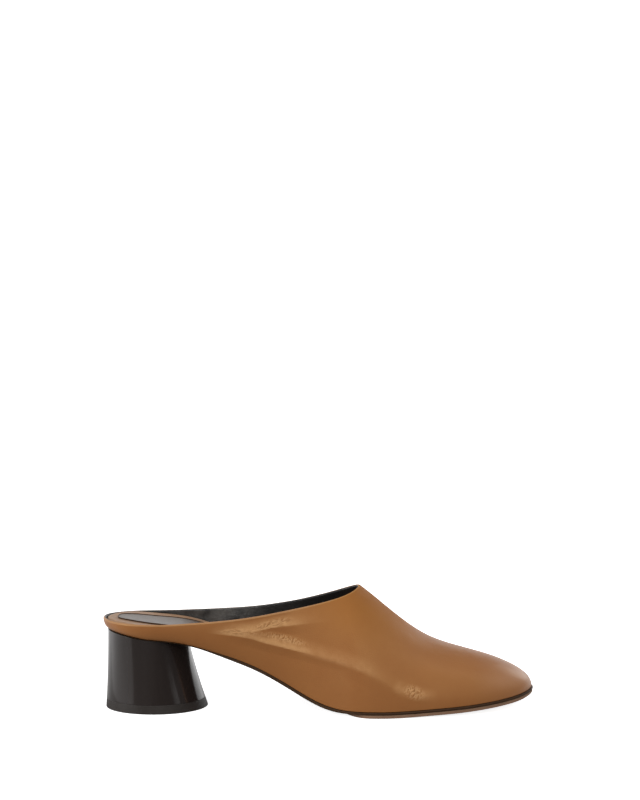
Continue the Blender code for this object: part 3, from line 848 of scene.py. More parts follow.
# %% [markdown]
# ## Sock pad
#
# The sock pad is a thin piece of dark leather glued on the footbed over the seat. Its back end is blunt and
# its front end runs to a slim round, so the sine that shapes its width is raised to a power that changes
# along it. It follows the dish of the footbed, and its cut edge shows in the bright studio.

# %% Sock pad
PAD_LENGTH = 0.0880
PAD_WIDTH = 0.0320
PAD_BACK_INSET = 0.0040
PAD_THICKNESS = 0.0006
PAD_BACK_ROUNDING, PAD_FRONT_ROUNDING = 0.56, 0.8
ROUNDING_FROM, ROUNDING_TO = 0.1, 0.5


def pad_edge(angle, side, inset):
    back = UPPER_WALL + PAD_BACK_INSET
    length = PAD_LENGTH - 2 * inset
    x = back + inset + length * share(angle)
    middle = BALL_WIDTH * CENTRE(turn(x / LAST_LENGTH))
    forward = ease(ROUNDING_FROM, ROUNDING_TO, share(angle))
    rounding = mix(PAD_BACK_ROUNDING, PAD_FRONT_ROUNDING, forward)
    half = (PAD_WIDTH / 2 - inset) * np.sin(angle) ** rounding
    return x, middle + side * half


pad_net = slab_net(
    slab_angles,
    pad_edge,
    lambda x, y: footbed_top(x, y) + PAD_THICKNESS,
    lambda x, y: footbed_top(x, y) + 0.0001,
    columns=12,
    top_round=0.0003,
    bottom_round=0.0001,
)
sock_pad = dress(net_object("sock_pad", pad_net, False, True), "heel_pad")

# %% [markdown]
# ### The line round the pad
#
# The pad's cut edge is inked, and it shows as a hairline all round, also on the far side. A dark stripe in
# the finish would be hidden there by the pad itself, so the line is a thin tube that lies on the pad's
# upper edge.

# %% The dark line round the pad
LINE_RADIUS = 0.0003


def tube_net(path, radius, sides=8):
    """A closed tube round a closed path."""
    along = np.roll(path, -1, axis=0) - np.roll(path, 1, axis=0)
    along /= np.linalg.norm(along, axis=1, keepdims=True)
    across = np.cross(along, [0.0, 0.0, 1.0])
    across /= np.linalg.norm(across, axis=1, keepdims=True)
    up = np.cross(across, along)
    turns = np.arange(sides) * 2 * math.pi / sides
    rings = [path + radius * (math.cos(t) * across + math.sin(t) * up) for t in turns]
    return np.stack(rings, axis=1)


line_x, line_y = [], []
for side, angles in ((OUTER, slab_angles[:-1]), (INNER, slab_angles[:0:-1])):
    x, y = pad_edge(angles, side, 0.0)
    line_x.append(x)
    line_y.append(y)
line_x, line_y = np.concatenate(line_x), np.concatenate(line_y)
line_z = footbed_top(line_x, line_y) + PAD_THICKNESS
pad_path = np.stack([line_x, line_y, line_z], axis=-1) + PLACE
line_net = tube_net(pad_path, LINE_RADIUS)
pad_line = dress(net_object("pad_line", line_net, True, True), "heel_pad")

# %% [markdown]
# ## The heel
#
# The heel is a round block that flares towards the floor, turned and lacquered. Its top follows the pitch
# of the seat. A thin top piece in rubber carries the wear. Both are drawn as rings that share one flare, so
# they line up, and their edges are broken by a small round. A lacquered block is a mirror, and rings that
# are far apart next to such a small round would bend the mirror there, so the rings crowd to both ends.

# %% Heel block and top piece
HEEL_TOP_LENGTH = 0.0455
HEEL_BASE_DIAMETER = 0.0590
HEEL_BASE_OVERHANG = 0.0012
BACK_FLARE, FRONT_FLARE, SIDE_FLARE = 2.2, 1.3, 1.4
LIFT_THICKNESS = 0.0050
HEEL_SIDES = 160
END_RINGS = (0.022, 0.012, 0.004)


def heel_outline(height, turned, inset=0.0):
    """Plan points of the heel at heights over the floor."""
    down = np.maximum(0.0, 1.0 - height / SEAT_HEIGHT)
    back = mix(0.0, -HEEL_BASE_OVERHANG, down**BACK_FLARE)
    front = mix(HEEL_TOP_LENGTH, HEEL_BASE_DIAMETER - HEEL_BASE_OVERHANG, down**FRONT_FLARE)
    seat_half = BALL_WIDTH * float(HALF(turn(SEAT_MIDDLE))) - FIT_GAP
    half_width = mix(seat_half, HEEL_BASE_DIAMETER / 2, down**SIDE_FLARE)
    x = (back + front) / 2 + ((front - back) / 2 - inset) * np.cos(turned)
    return x, (half_width - inset) * np.sin(turned)


def heel_net(low, top, edge, top_edge, rings):
    """Rings from low up to the surface top(x), with both edges rounded and rings that run in over both ends.
    """
    turned = np.arange(HEEL_SIDES) * 2 * math.pi / HEEL_SIDES
    high = np.full(HEEL_SIDES, top(HEEL_TOP_LENGTH / 2))
    for _ in range(12):
        high = top(heel_outline(high, turned)[0])
    quarter = np.linspace(0.0, math.pi / 2, 5)
    levels = [(low + 0.0 * high, inset) for inset in END_RINGS]
    levels += [(low + edge * (1 - math.cos(q)) + 0.0 * high, edge * (1 - math.sin(q))) for q in quarter]
    between = share(np.linspace(0.0, math.pi, rings + 1)[1:-1])
    levels += [(mix(low + edge, high - top_edge, t), 0.0) for t in between]
    levels += [(high - top_edge * (1 - math.cos(q)), top_edge * (1 - math.sin(q))) for q in quarter[::-1]]
    loops = []
    for height, inset in levels:
        x, y = heel_outline(height, turned, inset)
        loops.append(np.stack([x, y, height], axis=-1))
    for inset in (0.004, 0.012, 0.020):
        x, y = heel_outline(high, turned, inset)
        loops.append(np.stack([x, y, top(x)], axis=-1))
    return np.stack(loops, axis=0) + PLACE


def capped(piece):
    """Closes the open rounds at both ends of a piece."""
    edit = bmesh.new()
    edit.from_mesh(piece.data)
    bmesh.ops.holes_fill(edit, edges=[edge for edge in edit.edges if edge.is_boundary])
    bmesh.ops.recalc_face_normals(edit, faces=edit.faces)
    edit.to_mesh(piece.data)
    edit.free()
    return piece


heel_rings = heel_net(LIFT_THICKNESS + 0.00004, lambda x: sole_bottom(x) - 0.0001, 0.00008, 0.00005, 30)
heel = dress(capped(net_object("heel", heel_rings.transpose(1, 0, 2))), "heel_block")
lift_rings = heel_net(0.0, lambda x: LIFT_THICKNESS + 0.0 * x, 0.00022, 0.00008, 6)
top_piece = dress(capped(net_object("top_piece", lift_rings.transpose(1, 0, 2))), "heel_lift")

# %% [markdown]
# ## Effects that several finishes share
#
# A finish is built from a few effects, and each effect is a node group with named inputs: the pebbled grain
# of leather, cloudy shade from dye and handling, fine puckers where the leather is gathered, and a soft
# spot that says where on the shoe something happens. All of them work in the shoe's own metres, so a grain
# of half a millimetre is half a millimetre from any side.

# %% Helpers for node groups


def new_group(name, inputs, outputs):
    """An empty node group with named sockets, and its two end nodes."""
    group = bpy.data.node_groups.new(name, "ShaderNodeTree")
    kinds = {"value": "NodeSocketFloat", "colour": "NodeSocketColor", "vector": "NodeSocketVector"}
    for label, kind, value in inputs:
        group.interface.new_socket(label, in_out="INPUT", socket_type=kinds[kind]).default_value = value
    for label, kind in outputs:
        group.interface.new_socket(label, in_out="OUTPUT", socket_type=kinds[kind])
    print(name, "takes", [row[0] for row in inputs])
    return group, group.nodes.new("NodeGroupInput"), group.nodes.new("NodeGroupOutput")


def add(tree, kind, settings=None, **inputs):
    """A node with its settings, and its inputs set to numbers or joined to other nodes' outputs."""
    node = tree.nodes.new("ShaderNode" + kind)
    for key, value in (settings or {}).items():
        setattr(node, key, value)
    for key, value in inputs.items():
        label = key.replace("_", " ").strip()
        socket = node.inputs[int(label)] if label.isdigit() else node.inputs[label]
        if isinstance(value, bpy.types.NodeSocket):
            tree.links.new(value, socket)
        else:
            socket.default_value = value
    return node


def maths(tree, operation, a, b=0.0, clamp=False):
    node = add(tree, "Math", {"operation": operation, "use_clamp": clamp}, _0=a, _1=b)
    return node.outputs[0]


def place(tree):
    """Where we are on the shoe, in metres."""
    return add(tree, "TexCoord").outputs["Object"]


# %% [markdown]
# ### Leather grain
#
# Smooth calf is covered in fine pebbles, each about half a millimetre wide, with pores between them, and
# the hide also waves a little over a centimetre. A picture of leather would repeat and stretch. Rounded
# cells from a Voronoi texture, shaken by noise so they lose their grid, give the pebbles at true size. The
# group hands out a height for the bump, and a mask for the roughness that is highest on the pebbles' tops.

# %% Grain of the leather
grain, given, result = new_group(
    "leather_grain",
    [("Pebble", "value", 0.0007), ("Depth", "value", 1.0), ("Waves", "value", 1.0)],
    [("Height", "value"), ("Tops", "value")],
)
PEBBLE_SHAKE = 0.0006
where = place(grain)
per_pebble = maths(grain, "DIVIDE", 1.0, given.outputs["Pebble"])
wobble = add(grain, "TexNoise", None, Vector=where, Scale=420.0, Detail=2.0)
shaken = add(grain, "VectorMath", {"operation": "MULTIPLY_ADD"}, _0=wobble.outputs["Color"], _2=where)
shaken.inputs[1].default_value = (PEBBLE_SHAKE, PEBBLE_SHAKE, PEBBLE_SHAKE)
cells = add(grain, "TexVoronoi", {"feature": "SMOOTH_F1"}, Vector=shaken.outputs[0], Scale=per_pebble)
fine = add(grain, "TexNoise", None, Vector=where, Scale=2600.0, Detail=3.0, Roughness=0.6)
waves = add(grain, "TexNoise", None, Vector=where, Scale=70.0, Detail=3.0, Roughness=0.5)
pebbles = maths(grain, "MULTIPLY", cells.outputs["Distance"], -0.8)
fine_part = maths(grain, "MULTIPLY", fine.outputs["Fac"], 0.35)
small = maths(grain, "MULTIPLY", maths(grain, "ADD", pebbles, fine_part), given.outputs["Depth"])
large = maths(grain, "MULTIPLY", waves.outputs["Fac"], given.outputs["Waves"])
grain.links.new(maths(grain, "ADD", small, large), result.inputs["Height"])
grain.links.new(maths(grain, "SUBTRACT", 1.0, cells.outputs["Distance"], True), result.inputs["Tops"])

# %% [markdown]
# ### Cloudy shade
#
# Dye never takes evenly, and hands and wax leave broad soft clouds. One noise texture mixes two near
# colours. The size of a cloud is given in metres, and the mask is handed out as well, so that other effects
# can be made uneven by the same clouds.

# %% Cloudy shade
clouds, given, result = new_group(
    "cloudy_shade",
    [
        ("Colour", "colour", (0.5, 0.3, 0.2, 1)),
        ("Shade", "colour", (0.3, 0.2, 0.1, 1)),
        ("Patch", "value", 0.02),
        ("Amount", "value", 0.5),
    ],
    [("Colour", "colour"), ("Mask", "value")],
)
scale = maths(clouds, "DIVIDE", 1.0, given.outputs["Patch"])
cloud = add(clouds, "TexNoise", None, Vector=place(clouds), Scale=scale, Detail=4.0, Roughness=0.6)
mask = add(clouds, "MapRange", None, Value=cloud.outputs["Fac"], From_Min=0.35, From_Max=0.65)
part = maths(clouds, "MULTIPLY", mask.outputs["Result"], given.outputs["Amount"], True)
blend = add(clouds, "Mix", {"data_type": "RGBA"}, _0=part, _6=given.outputs["Colour"])
clouds.links.new(given.outputs["Shade"], blend.inputs[7])
clouds.links.new(blend.outputs[2], result.inputs["Colour"])
clouds.links.new(part, result.inputs["Mask"])

# %% [markdown]
# ### Soft spot
#
# Wear, gathers and polish sit at certain places. A spot says where: it is 1 in the middle of a tilted
# ellipsoid and fades to 0 at its reach. Painting such masks by hand would work too, but a spot is three
# vectors, stays soft at any size and is easy to move.

# %% Soft spot
spot, given, result = new_group(
    "soft_spot",
    [
        ("Centre", "vector", (0, 0, 0)),
        ("Reach", "vector", (0.01, 0.01, 0.01)),
        ("Tilt", "vector", (0, 0, 0)),
    ],
    [("Mask", "value")],
)
offset = add(spot, "VectorMath", {"operation": "SUBTRACT"}, _0=place(spot), _1=given.outputs["Centre"])
level = add(spot, "VectorRotate", {"rotation_type": "EULER_XYZ"}, Vector=offset.outputs[0])
spot.links.new(given.outputs["Tilt"], level.inputs["Rotation"])
scaled = add(spot, "VectorMath", {"operation": "DIVIDE"}, _0=level.outputs[0], _1=given.outputs["Reach"])
far = add(spot, "VectorMath", {"operation": "LENGTH"}, _0=scaled.outputs[0])
near = add(
    spot,
    "MapRange",
    {"interpolation_type": "SMOOTHSTEP"},
    Value=far.outputs["Value"],
    From_Min=1.0,
    From_Max=0.2,
)
spot.links.new(near.outputs["Result"], result.inputs["Mask"])

# %% [markdown]
# ### Fine puckers
#
# Where the leather is gathered, it breaks into short creases about a millimetre apart. The wax moves out of
# a crease when it bends, so each is a thin pale line, and that pale line is also a painted glint on the
# crease. Noise that is drawn out one way is close to that. The places where it has its middle value make
# winding lines: the height grows with the distance from them, and a narrow band along them is pale, as
# pull-up and painted glint.

# %% Fine puckers
puckers, given, result = new_group(
    "fine_puckers",
    [("Tilt", "vector", (0, 0, 0)), ("Spacing", "value", 0.001), ("Mask", "value", 1.0)],
    [("Height", "value"), ("Lines", "value")],
)
PUCKER_STRETCH = 0.28
turned_place = add(puckers, "VectorRotate", {"rotation_type": "EULER_XYZ"}, Vector=place(puckers))
puckers.links.new(given.outputs["Tilt"], turned_place.inputs["Rotation"])
drawn = add(puckers, "VectorMath", {"operation": "MULTIPLY"}, _0=turned_place.outputs[0])
drawn.inputs[1].default_value = (PUCKER_STRETCH, 1.0, 1.0)
frequency = maths(puckers, "DIVIDE", 1.0, given.outputs["Spacing"])
lines = add(puckers, "TexNoise", None, Vector=drawn.outputs[0], Scale=frequency, Detail=3.0, Roughness=0.55)
ridged = maths(puckers, "ABSOLUTE", maths(puckers, "SUBTRACT", lines.outputs["Fac"], 0.5))
puckers.links.new(maths(puckers, "MULTIPLY", ridged, given.outputs["Mask"]), result.inputs["Height"])
thin = add(puckers, "MapRange", None, Value=ridged, From_Min=0.085, From_Max=0.015).outputs["Result"]
puckers.links.new(maths(puckers, "MULTIPLY", thin, given.outputs["Mask"]), result.inputs["Lines"])

# %% [markdown]
# ## A finish
#
# Every finish starts in the same way: a shader with its constant values, and a bump node whose distance is
# the real height of the relief in metres. Most finishes here are also grained and cloudy, each with its own
# colours and sizes, so one helper builds those. Handling dulls the tops of the pebbles, and wax stays in the
# pores between them, so the tops are a little rougher. An even gloss would look like plastic.

# %% Helpers for finishes


def group_node(tree, group, **inputs):
    node = tree.nodes.new("ShaderNodeGroup")
    node.node_tree = group
    for key, value in inputs.items():
        socket = node.inputs[key]
        if isinstance(value, bpy.types.NodeSocket):
            tree.links.new(value, socket)
        else:
            socket.default_value = value
    return node


def new_finish(name, **constants):
    """A material, its node tree and its shader."""
    made = bpy.data.materials.new(name)
    made.use_nodes = True
    shader = made.node_tree.nodes["Principled BSDF"]
    for key, value in constants.items():
        shader.inputs[key.replace("_", " ")].default_value = value
    return made, made.node_tree, shader


def bump(tree, shader, height, depth):
    """Relief: height is 0 to 1, depth is its real size in metres."""
    node = add(tree, "Bump", None, Strength=1.0, Distance=depth, Height=height)
    tree.links.new(node.outputs["Normal"], shader.inputs["Normal"])
    return node


def rougher_tops(tree, tops, roughness):
    """Roughness between two values, higher on the tops of the pebbles."""
    rough = add(tree, "MapRange", None, Value=tops)
    rough.inputs["To Min"].default_value, rough.inputs["To Max"].default_value = roughness
    return rough.outputs["Result"]


def grained(name, shine, colour, shade_colour, patch, pebble, depth, waves, roughness, relief):
    """A cloudy, grained finish, its tree, its shader and its colour."""
    made, tree, shader = new_finish(name, Specular_IOR_Level=shine)
    shade = group_node(tree, clouds, Colour=(*colour, 1), Shade=(*shade_colour, 1), Patch=patch)
    tree.links.new(shade.outputs["Colour"], shader.inputs["Base Color"])
    skin_grain = group_node(tree, grain, Pebble=pebble, Depth=depth, Waves=waves)
    rough = rougher_tops(tree, skin_grain.outputs["Tops"], roughness)
    tree.links.new(rough, shader.inputs["Roughness"])
    bump(tree, shader, skin_grain.outputs["Height"], relief)
    return made, tree, shader, shade.outputs["Colour"]


def wear(*pieces, finish):
    for piece in pieces:
        piece.data.materials.clear()
        piece.data.materials.append(finish)
        print(piece.name, "wears", finish.name)


# %% [markdown]
# ## Where the leather is gathered and where its shine changes
#
# The leather gathers at four places: at the fork of the two folds, along each fold and over the ball. A
# gather is a soft spot filled with puckers that have a tilt of their own. The vamp has been handled, so it
# is duller, and its dye is warmed and darkened by a painted shade, while the toe was brushed to a thin
# polish. Both are broad soft spots too.
# Places are told on the last, so they stay put if the shoe is regraded.

# %% Where the leather puckers
# name, place as (share of the length, wrap), reach along and up in mm, tilt of the spot and of its lines
GATHERS = [
    ("fork", (0.312, 0.408), (15.0, 2.4), -3.0, 2.0),
    ("upper_fold", (0.386, 0.462), (15.5, 3.2), 15.0, 30.0),
    ("lower_fold", (0.416, 0.350), (18.0, 3.0), -13.0, 80.0),
    ("ball", (0.713, 0.160), (8.0, 5.0), -22.0, 62.0),
]


def spot_at(tree, side, place_on_last, reach, tilt=0.0):
    """A soft spot at a place on the last. The reach is in mm, the tilt in degrees."""
    along, wrap = place_on_last
    centre = wall_point(turn([along]), np.array([side]), np.array([wrap]))[0]
    mask = group_node(tree, spot, Centre=tuple(centre), Tilt=(0.0, math.radians(tilt), 0.0))
    mask.inputs["Reach"].default_value = tuple(size / 1000 for size in reach)
    return mask.outputs["Mask"]


print("gathers:", [row[0] for row in GATHERS])

# %% Where the shine changes
# name, place as (share of the length, wrap), reach along, across and up in mm, rougher by, polish
SHINES = [
    # a rougher place is also warmed and darkened by a painted shade
    ("dull_vamp_painted_shade", (0.62, 1.0), (52.0, 60.0, 45.0), 0.30, 0.0),
    ("polished_toe", (0.98, 0.45), (40.0, 60.0, 26.0), 0.0, 1.6),
]
print("shine changes at", [row[0] for row in SHINES])

# %% [markdown]
# ## Tan leather of the upper
#
# The upper is a waxy smooth calf: tan, cloudy, with a fine grain and a soft sheen. One colour with a gloss
# would look like paint, so the finish is built up as the leather is. The dye comes first. The pale creases
# and the stretched places lie over it, partly pull-up and partly painted highlight, then a painted shade
# warms and darkens the vamp. The grain and the puckers make the relief.
#
# The sheen is tinted, because it comes out of a dyed, waxed surface. It also falls off towards the
# outline, where a plain gloss would mirror the white sweep as a chalky rim. Layer Weight tells how far the
# surface turns away. The socket keeps a middle value of its own for programs that can't read the link.

# %% Tan leather
# The pale tan is both the colour of pulled-up leather and a painted highlight.
PALE_HIGHLIGHT_TAN = (0.62, 0.33, 0.145, 1)
VAMP_PAINTED_SHADE_TINT = (0.97, 0.90, 0.58, 1)
SHEEN_TINT = (1.0, 0.73, 0.34, 1)
SHEEN_FACING, SHEEN_AT_OUTLINE, SHEEN_MIDDLE = 0.44, 0.16, 0.40
POLISH_ROUGHNESS = 0.40
GATHER_DEPTH = 12.0
PUCKER_SPACING = 0.0013
PUCKER_HEIGHT, PUCKER_PALE_AND_GLINT = 7.0, 0.90


def pale_highlights_and_gathers(tree, relief):
    """How pale the leather is, 0 to 1, from stretch, pucker lines and a painted highlight, and its relief
    with the puckers added.
    """
    uneven = group_node(tree, clouds, Patch=0.004, Amount=0.45)
    # Painted highlight: the stretch value paints the lit side of each fold paler, along with the real
    # stretch.
    stretch_and_highlight = add(tree, "Attribute", {"attribute_name": "stretch_and_highlight"}).outputs["Fac"]
    pale = maths(tree, "MULTIPLY", stretch_and_highlight, maths(tree, "SUBTRACT", 1.0, uneven.outputs["Mask"]))
    for _, where, (reach_along, reach_up), tilt, lines_tilt in GATHERS:
        mask = spot_at(tree, OUTER, where, (reach_along, GATHER_DEPTH, reach_up), tilt)
        lines_turn = (0.0, math.radians(lines_tilt), 0.0)
        fine = group_node(tree, puckers, Spacing=PUCKER_SPACING, Tilt=lines_turn, Mask=mask)
        higher = maths(tree, "MULTIPLY", fine.outputs["Height"], PUCKER_HEIGHT)
        relief = maths(tree, "ADD", relief, higher)
        # The pale pucker lines are partly pull-up and partly a painted glint.
        paler = maths(tree, "MULTIPLY", fine.outputs["Lines"], PUCKER_PALE_AND_GLINT)
        pale = maths(tree, "ADD", pale, paler, True)
    return pale, relief


def tan_leather(name, colour, shade_colour, roughness):
    """Smooth calf: cloudy dye, fine grain, gathers, and a sheen that changes over the shoe."""
    made, tree, shader = new_finish(
        name,
        Specular_Tint=SHEEN_TINT,
        Specular_IOR_Level=SHEEN_MIDDLE,
        Coat_Roughness=POLISH_ROUGHNESS,
    )
    shade = group_node(tree, clouds, Colour=colour, Shade=shade_colour, Patch=0.03, Amount=0.6)
    skin_grain = group_node(tree, grain, Pebble=0.00065, Depth=0.30, Waves=0.8)
    pale, relief = pale_highlights_and_gathers(tree, skin_grain.outputs["Height"])
    dyed = add(tree, "Mix", {"data_type": "RGBA"}, _0=pale, _6=shade.outputs["Colour"])
    dyed.inputs[7].default_value = PALE_HIGHLIGHT_TAN
    skin_colour = dyed.outputs[2]

    facing = add(tree, "LayerWeight").outputs["Facing"]
    sheen = add(tree, "MapRange", None, Value=facing, From_Min=0.55, From_Max=0.95)
    sheen.inputs["To Min"].default_value = SHEEN_FACING
    sheen.inputs["To Max"].default_value = SHEEN_AT_OUTLINE
    tree.links.new(sheen.outputs["Result"], shader.inputs["Specular IOR Level"])

    dullness = rougher_tops(tree, skin_grain.outputs["Tops"], roughness)
    for _, where, reach, rougher, polish in SHINES:
        mask = spot_at(tree, OUTER, where, reach)
        if rougher:
            dullness = maths(tree, "ADD", dullness, maths(tree, "MULTIPLY", mask, rougher))
            # A rougher place also gets a painted shade: its dye is warmed and darkened.
            multiplied = {"data_type": "RGBA", "blend_type": "MULTIPLY"}
            vamp_painted_shade = add(tree, "Mix", multiplied, _0=mask, _6=skin_colour)
            vamp_painted_shade.inputs[7].default_value = VAMP_PAINTED_SHADE_TINT
            skin_colour = vamp_painted_shade.outputs[2]
        if polish:
            thin = maths(tree, "MULTIPLY", mask, sheen.outputs["Result"])
            tree.links.new(maths(tree, "MULTIPLY", thin, polish), shader.inputs["Coat Weight"])
    tree.links.new(skin_colour, shader.inputs["Base Color"])
    tree.links.new(dullness, shader.inputs["Roughness"])
    bump(tree, shader, relief, 0.00022)
    return made


tan = tan_leather("tan_leather", (0.374, 0.152, 0.050, 1), (0.335, 0.127, 0.041, 1), (0.30, 0.40))
wear(upper_leather, finish=tan)
# The folded edge is a lighter tan: a paler cut edge and a painted highlight along the top of the fold.
fold_tan_painted_highlight = tan_leather("tan_leather_fold", (0.46, 0.235, 0.105, 1), (0.39, 0.18, 0.07, 1), (0.28, 0.38))
wear(collar_edge, finish=fold_tan_painted_highlight)

# %% [markdown]
# ## The black lining
#
# The lining is thin black leather, smooth and a little wavy, because it isn't pulled as tight as the upper.
# It has a low sheen along the far wall. On the inner side a cloudy grey is painted on the black: painted
# light and reflections on the wall. That place is a soft spot that lets the clouds through the black.

# %% Lining
lining, tree, shader, painted_sheen_grey = grained(
    "black_lining", shine=0.5, colour=(0.024, 0.023, 0.022), shade_colour=(0.190, 0.180, 0.165),
    patch=0.010, pebble=0.0008, depth=0.5, waves=1.8, roughness=(0.28, 0.40), relief=0.0005,
)
# Painted light: grey patches on the inner wall stand for light and reflections on the black.
painted_sheen_spot = spot_at(tree, INNER, (0.25, 0.65), (36.0, 50.0, 30.0))
black_with_painted_sheen = add(tree, "Mix", {"data_type": "RGBA"}, _0=painted_sheen_spot, _7=painted_sheen_grey)
black_with_painted_sheen.inputs[6].default_value = (0.018, 0.017, 0.016, 1)
tree.links.new(black_with_painted_sheen.outputs[2], shader.inputs["Base Color"])
wear(upper_lining, finish=lining)

# %% [markdown]
# ## The other leathers
#
# The sock pad is dark taupe and almost glossy when seen at a low angle. The edge of the long sole is dyed
# and waxed, and so is the line round the pad. The half sole is vegetable-tanned leather left bare: matte,
# pinkish tan, a little scuffed. The footbed is covered in the same tan family as the upper, paler and
# softer. They differ only in colours, sizes and gloss, so one helper makes them all.

# %% Sock pad, waxed edge, half sole and footbed
sock = grained(
    "taupe_sock", shine=0.6, colour=(0.105, 0.070, 0.050), shade_colour=(0.075, 0.050, 0.036),
    patch=0.01, pebble=0.0006, depth=0.5, waves=0.3, roughness=(0.30, 0.42), relief=0.0001,
)[0]
wear(sock_pad, finish=sock)
waxed = grained(
    "waxed_edge", shine=0.25, colour=(0.046, 0.021, 0.007), shade_colour=(0.068, 0.032, 0.011),
    patch=0.008, pebble=0.0009, depth=0.6, waves=0.3, roughness=(0.35, 0.55), relief=0.0001,
)[0]
wear(sole_leather, pad_line, finish=waxed)
bare = grained(
    "bare_leather", shine=0.35, colour=(0.29, 0.165, 0.10), shade_colour=(0.21, 0.11, 0.065),
    patch=0.006, pebble=0.0010, depth=0.9, waves=0.3, roughness=(0.55, 0.75), relief=0.0002,
)[0]
wear(half_sole, finish=bare)
cover = grained(
    "footbed_cover", shine=0.5, colour=(0.40, 0.235, 0.135), shade_colour=(0.34, 0.19, 0.10),
    patch=0.015, pebble=0.0006, depth=0.5, waves=0.6, roughness=(0.42, 0.55), relief=0.0002,
)[0]
wear(footbed, finish=cover)

# %% [markdown]
# ## Heel and top piece
#
# The heel is stained nearly black and polished over a clear lacquer. Under the gloss a faint upright streak
# from the turning shows: noise that is drawn out along the height. The lacquer is the shader's coat, and a
# very low ripple keeps its mirror from being perfect. The top piece is dark rubber with a satin edge.

# %% Upright streaks
streaks, given, result = new_group(
    "upright_streaks",
    [
        ("Width", "value", 0.003),
        ("Colour", "colour", (0.03, 0.02, 0.02, 1)),
        ("Streak", "colour", (0.06, 0.04, 0.03, 1)),
    ],
    [("Colour", "colour"), ("Mask", "value")],
)
upright = add(streaks, "VectorMath", {"operation": "MULTIPLY"}, _0=place(streaks))
upright.inputs[1].default_value = (1.0, 1.0, 0.06)
frequency = maths(streaks, "DIVIDE", 1.0, given.outputs["Width"])
grainy = add(streaks, "TexNoise", None, Vector=upright.outputs[0], Scale=frequency, Detail=4.0)
grainy.inputs["Roughness"].default_value = 0.6
mask = add(streaks, "MapRange", None, Value=grainy.outputs["Fac"], From_Min=0.42, From_Max=0.66)
blend = add(streaks, "Mix", {"data_type": "RGBA"}, _0=mask.outputs["Result"], _6=given.outputs["Colour"])
streaks.links.new(given.outputs["Streak"], blend.inputs[7])
streaks.links.new(blend.outputs[2], result.inputs["Colour"])
streaks.links.new(mask.outputs["Result"], result.inputs["Mask"])

# %% Lacquered heel and top piece
lacquer, tree, shader = new_finish(
    "lacquered_heel", Coat_Weight=0.25, Coat_Roughness=0.08, Specular_IOR_Level=0.45
)
wood = group_node(
    tree, streaks, Width=0.007, Colour=(0.022, 0.0155, 0.0135, 1), Streak=(0.024, 0.017, 0.0145, 1)
)
tree.links.new(wood.outputs["Colour"], shader.inputs["Base Color"])
rough = add(tree, "MapRange", None, Value=wood.outputs["Mask"], To_Min=0.13, To_Max=0.17)
tree.links.new(rough.outputs["Result"], shader.inputs["Roughness"])
ripple = add(tree, "TexNoise", None, Vector=place(tree), Scale=60.0, Detail=1.0)
bump(tree, shader, ripple.outputs["Fac"], 0.0001)
wear(heel, finish=lacquer)

rubber = grained(
    "top_rubber", shine=0.4, colour=(0.022, 0.016, 0.013), shade_colour=(0.028, 0.021, 0.017),
    patch=0.004, pebble=0.0008, depth=0.8, waves=0.2, roughness=(0.42, 0.60), relief=0.0001,
)[0]
wear(top_piece, finish=rubber)

# %% [markdown]
# ## The studio
#
# The shoe was photographed on a white sweep, from its outer side and almost level, with broad soft light
# from above and white cards beside it. A curved sheet stands for the sweep, so no horizon shows.
#
# Seen by the camera the paper glows plain white. Seen by the shoe its colour is painted darker in front and
# brighter behind, and it glows behind: painted light of a sweep that is lit from behind, and that is what
# draws the pale outline of the heel.

# %% Sweep
SWEEP_HALF = 3.0
BEND_RADIUS, BEND_START = 0.9, 1.9
SWEEP_TOP = 1.3
bend = np.linspace(0, math.pi / 2, 24)
curve = [(BEND_START + BEND_RADIUS * math.sin(q), BEND_RADIUS * (1 - math.cos(q))) for q in bend]
profile = [(-SWEEP_HALF, 0.0)] + curve + [(BEND_START + BEND_RADIUS, SWEEP_TOP)]
widths = np.linspace(-SWEEP_HALF, SWEEP_HALF, 9)
sweep_net = np.array([[(x, y, z) for y, z in profile] for x in widths])
sweep = net_object("sweep", sweep_net, False)
sweep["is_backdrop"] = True

# Painted light: the paper's colour and glow stand for how the sweep is lit.
PAPER_IN_FRONT, PAPER_BEHIND = 0.21, 0.88
GLOW_BEHIND, GLOW_SEEN = 0.5, 0.86
paper, tree, shader = new_finish("white_paper", Roughness=0.9, Specular_IOR_Level=0.2)
shader.inputs["Emission Color"].default_value = (1, 1, 1, 1)
path = add(tree, "LightPath")
depth = add(tree, "SeparateXYZ", None, Vector=place(tree))
to_the_back = add(tree, "MapRange", None, Value=depth.outputs["Y"], From_Min=-0.1, From_Max=0.42)
behind = to_the_back.outputs["Result"]
white = add(tree, "MapRange", None, Value=maths(tree, "MAXIMUM", behind, path.outputs["Is Camera Ray"]))
white.inputs["To Min"].default_value = PAPER_IN_FRONT
white.inputs["To Max"].default_value = PAPER_BEHIND
tone = add(tree, "CombineColor", None, Red=white.outputs[0], Green=white.outputs[0], Blue=white.outputs[0])
tree.links.new(tone.outputs[0], shader.inputs["Base Color"])
lit_back = maths(tree, "MULTIPLY", behind, GLOW_BEHIND)
seen_white = maths(tree, "MULTIPLY", path.outputs["Is Camera Ray"], GLOW_SEEN)
tree.links.new(maths(tree, "MAXIMUM", lit_back, seen_white), shader.inputs["Emission Strength"])
wear(sweep, finish=paper)

# %% [markdown]
# ### What the leather and the lacquer see
#
# Glossy surfaces show their surroundings, so the room is drawn as one: bright behind and above, dim in
# front, where the camera and its stand were. The edges of the heel then go pale and its middle stays dark.

# %% Room
world = bpy.data.worlds.new("studio")
world.use_nodes = True
bpy.context.scene.world = world
room = world.node_tree
direction = add(room, "SeparateXYZ", None, Vector=add(room, "TexCoord").outputs["Generated"])


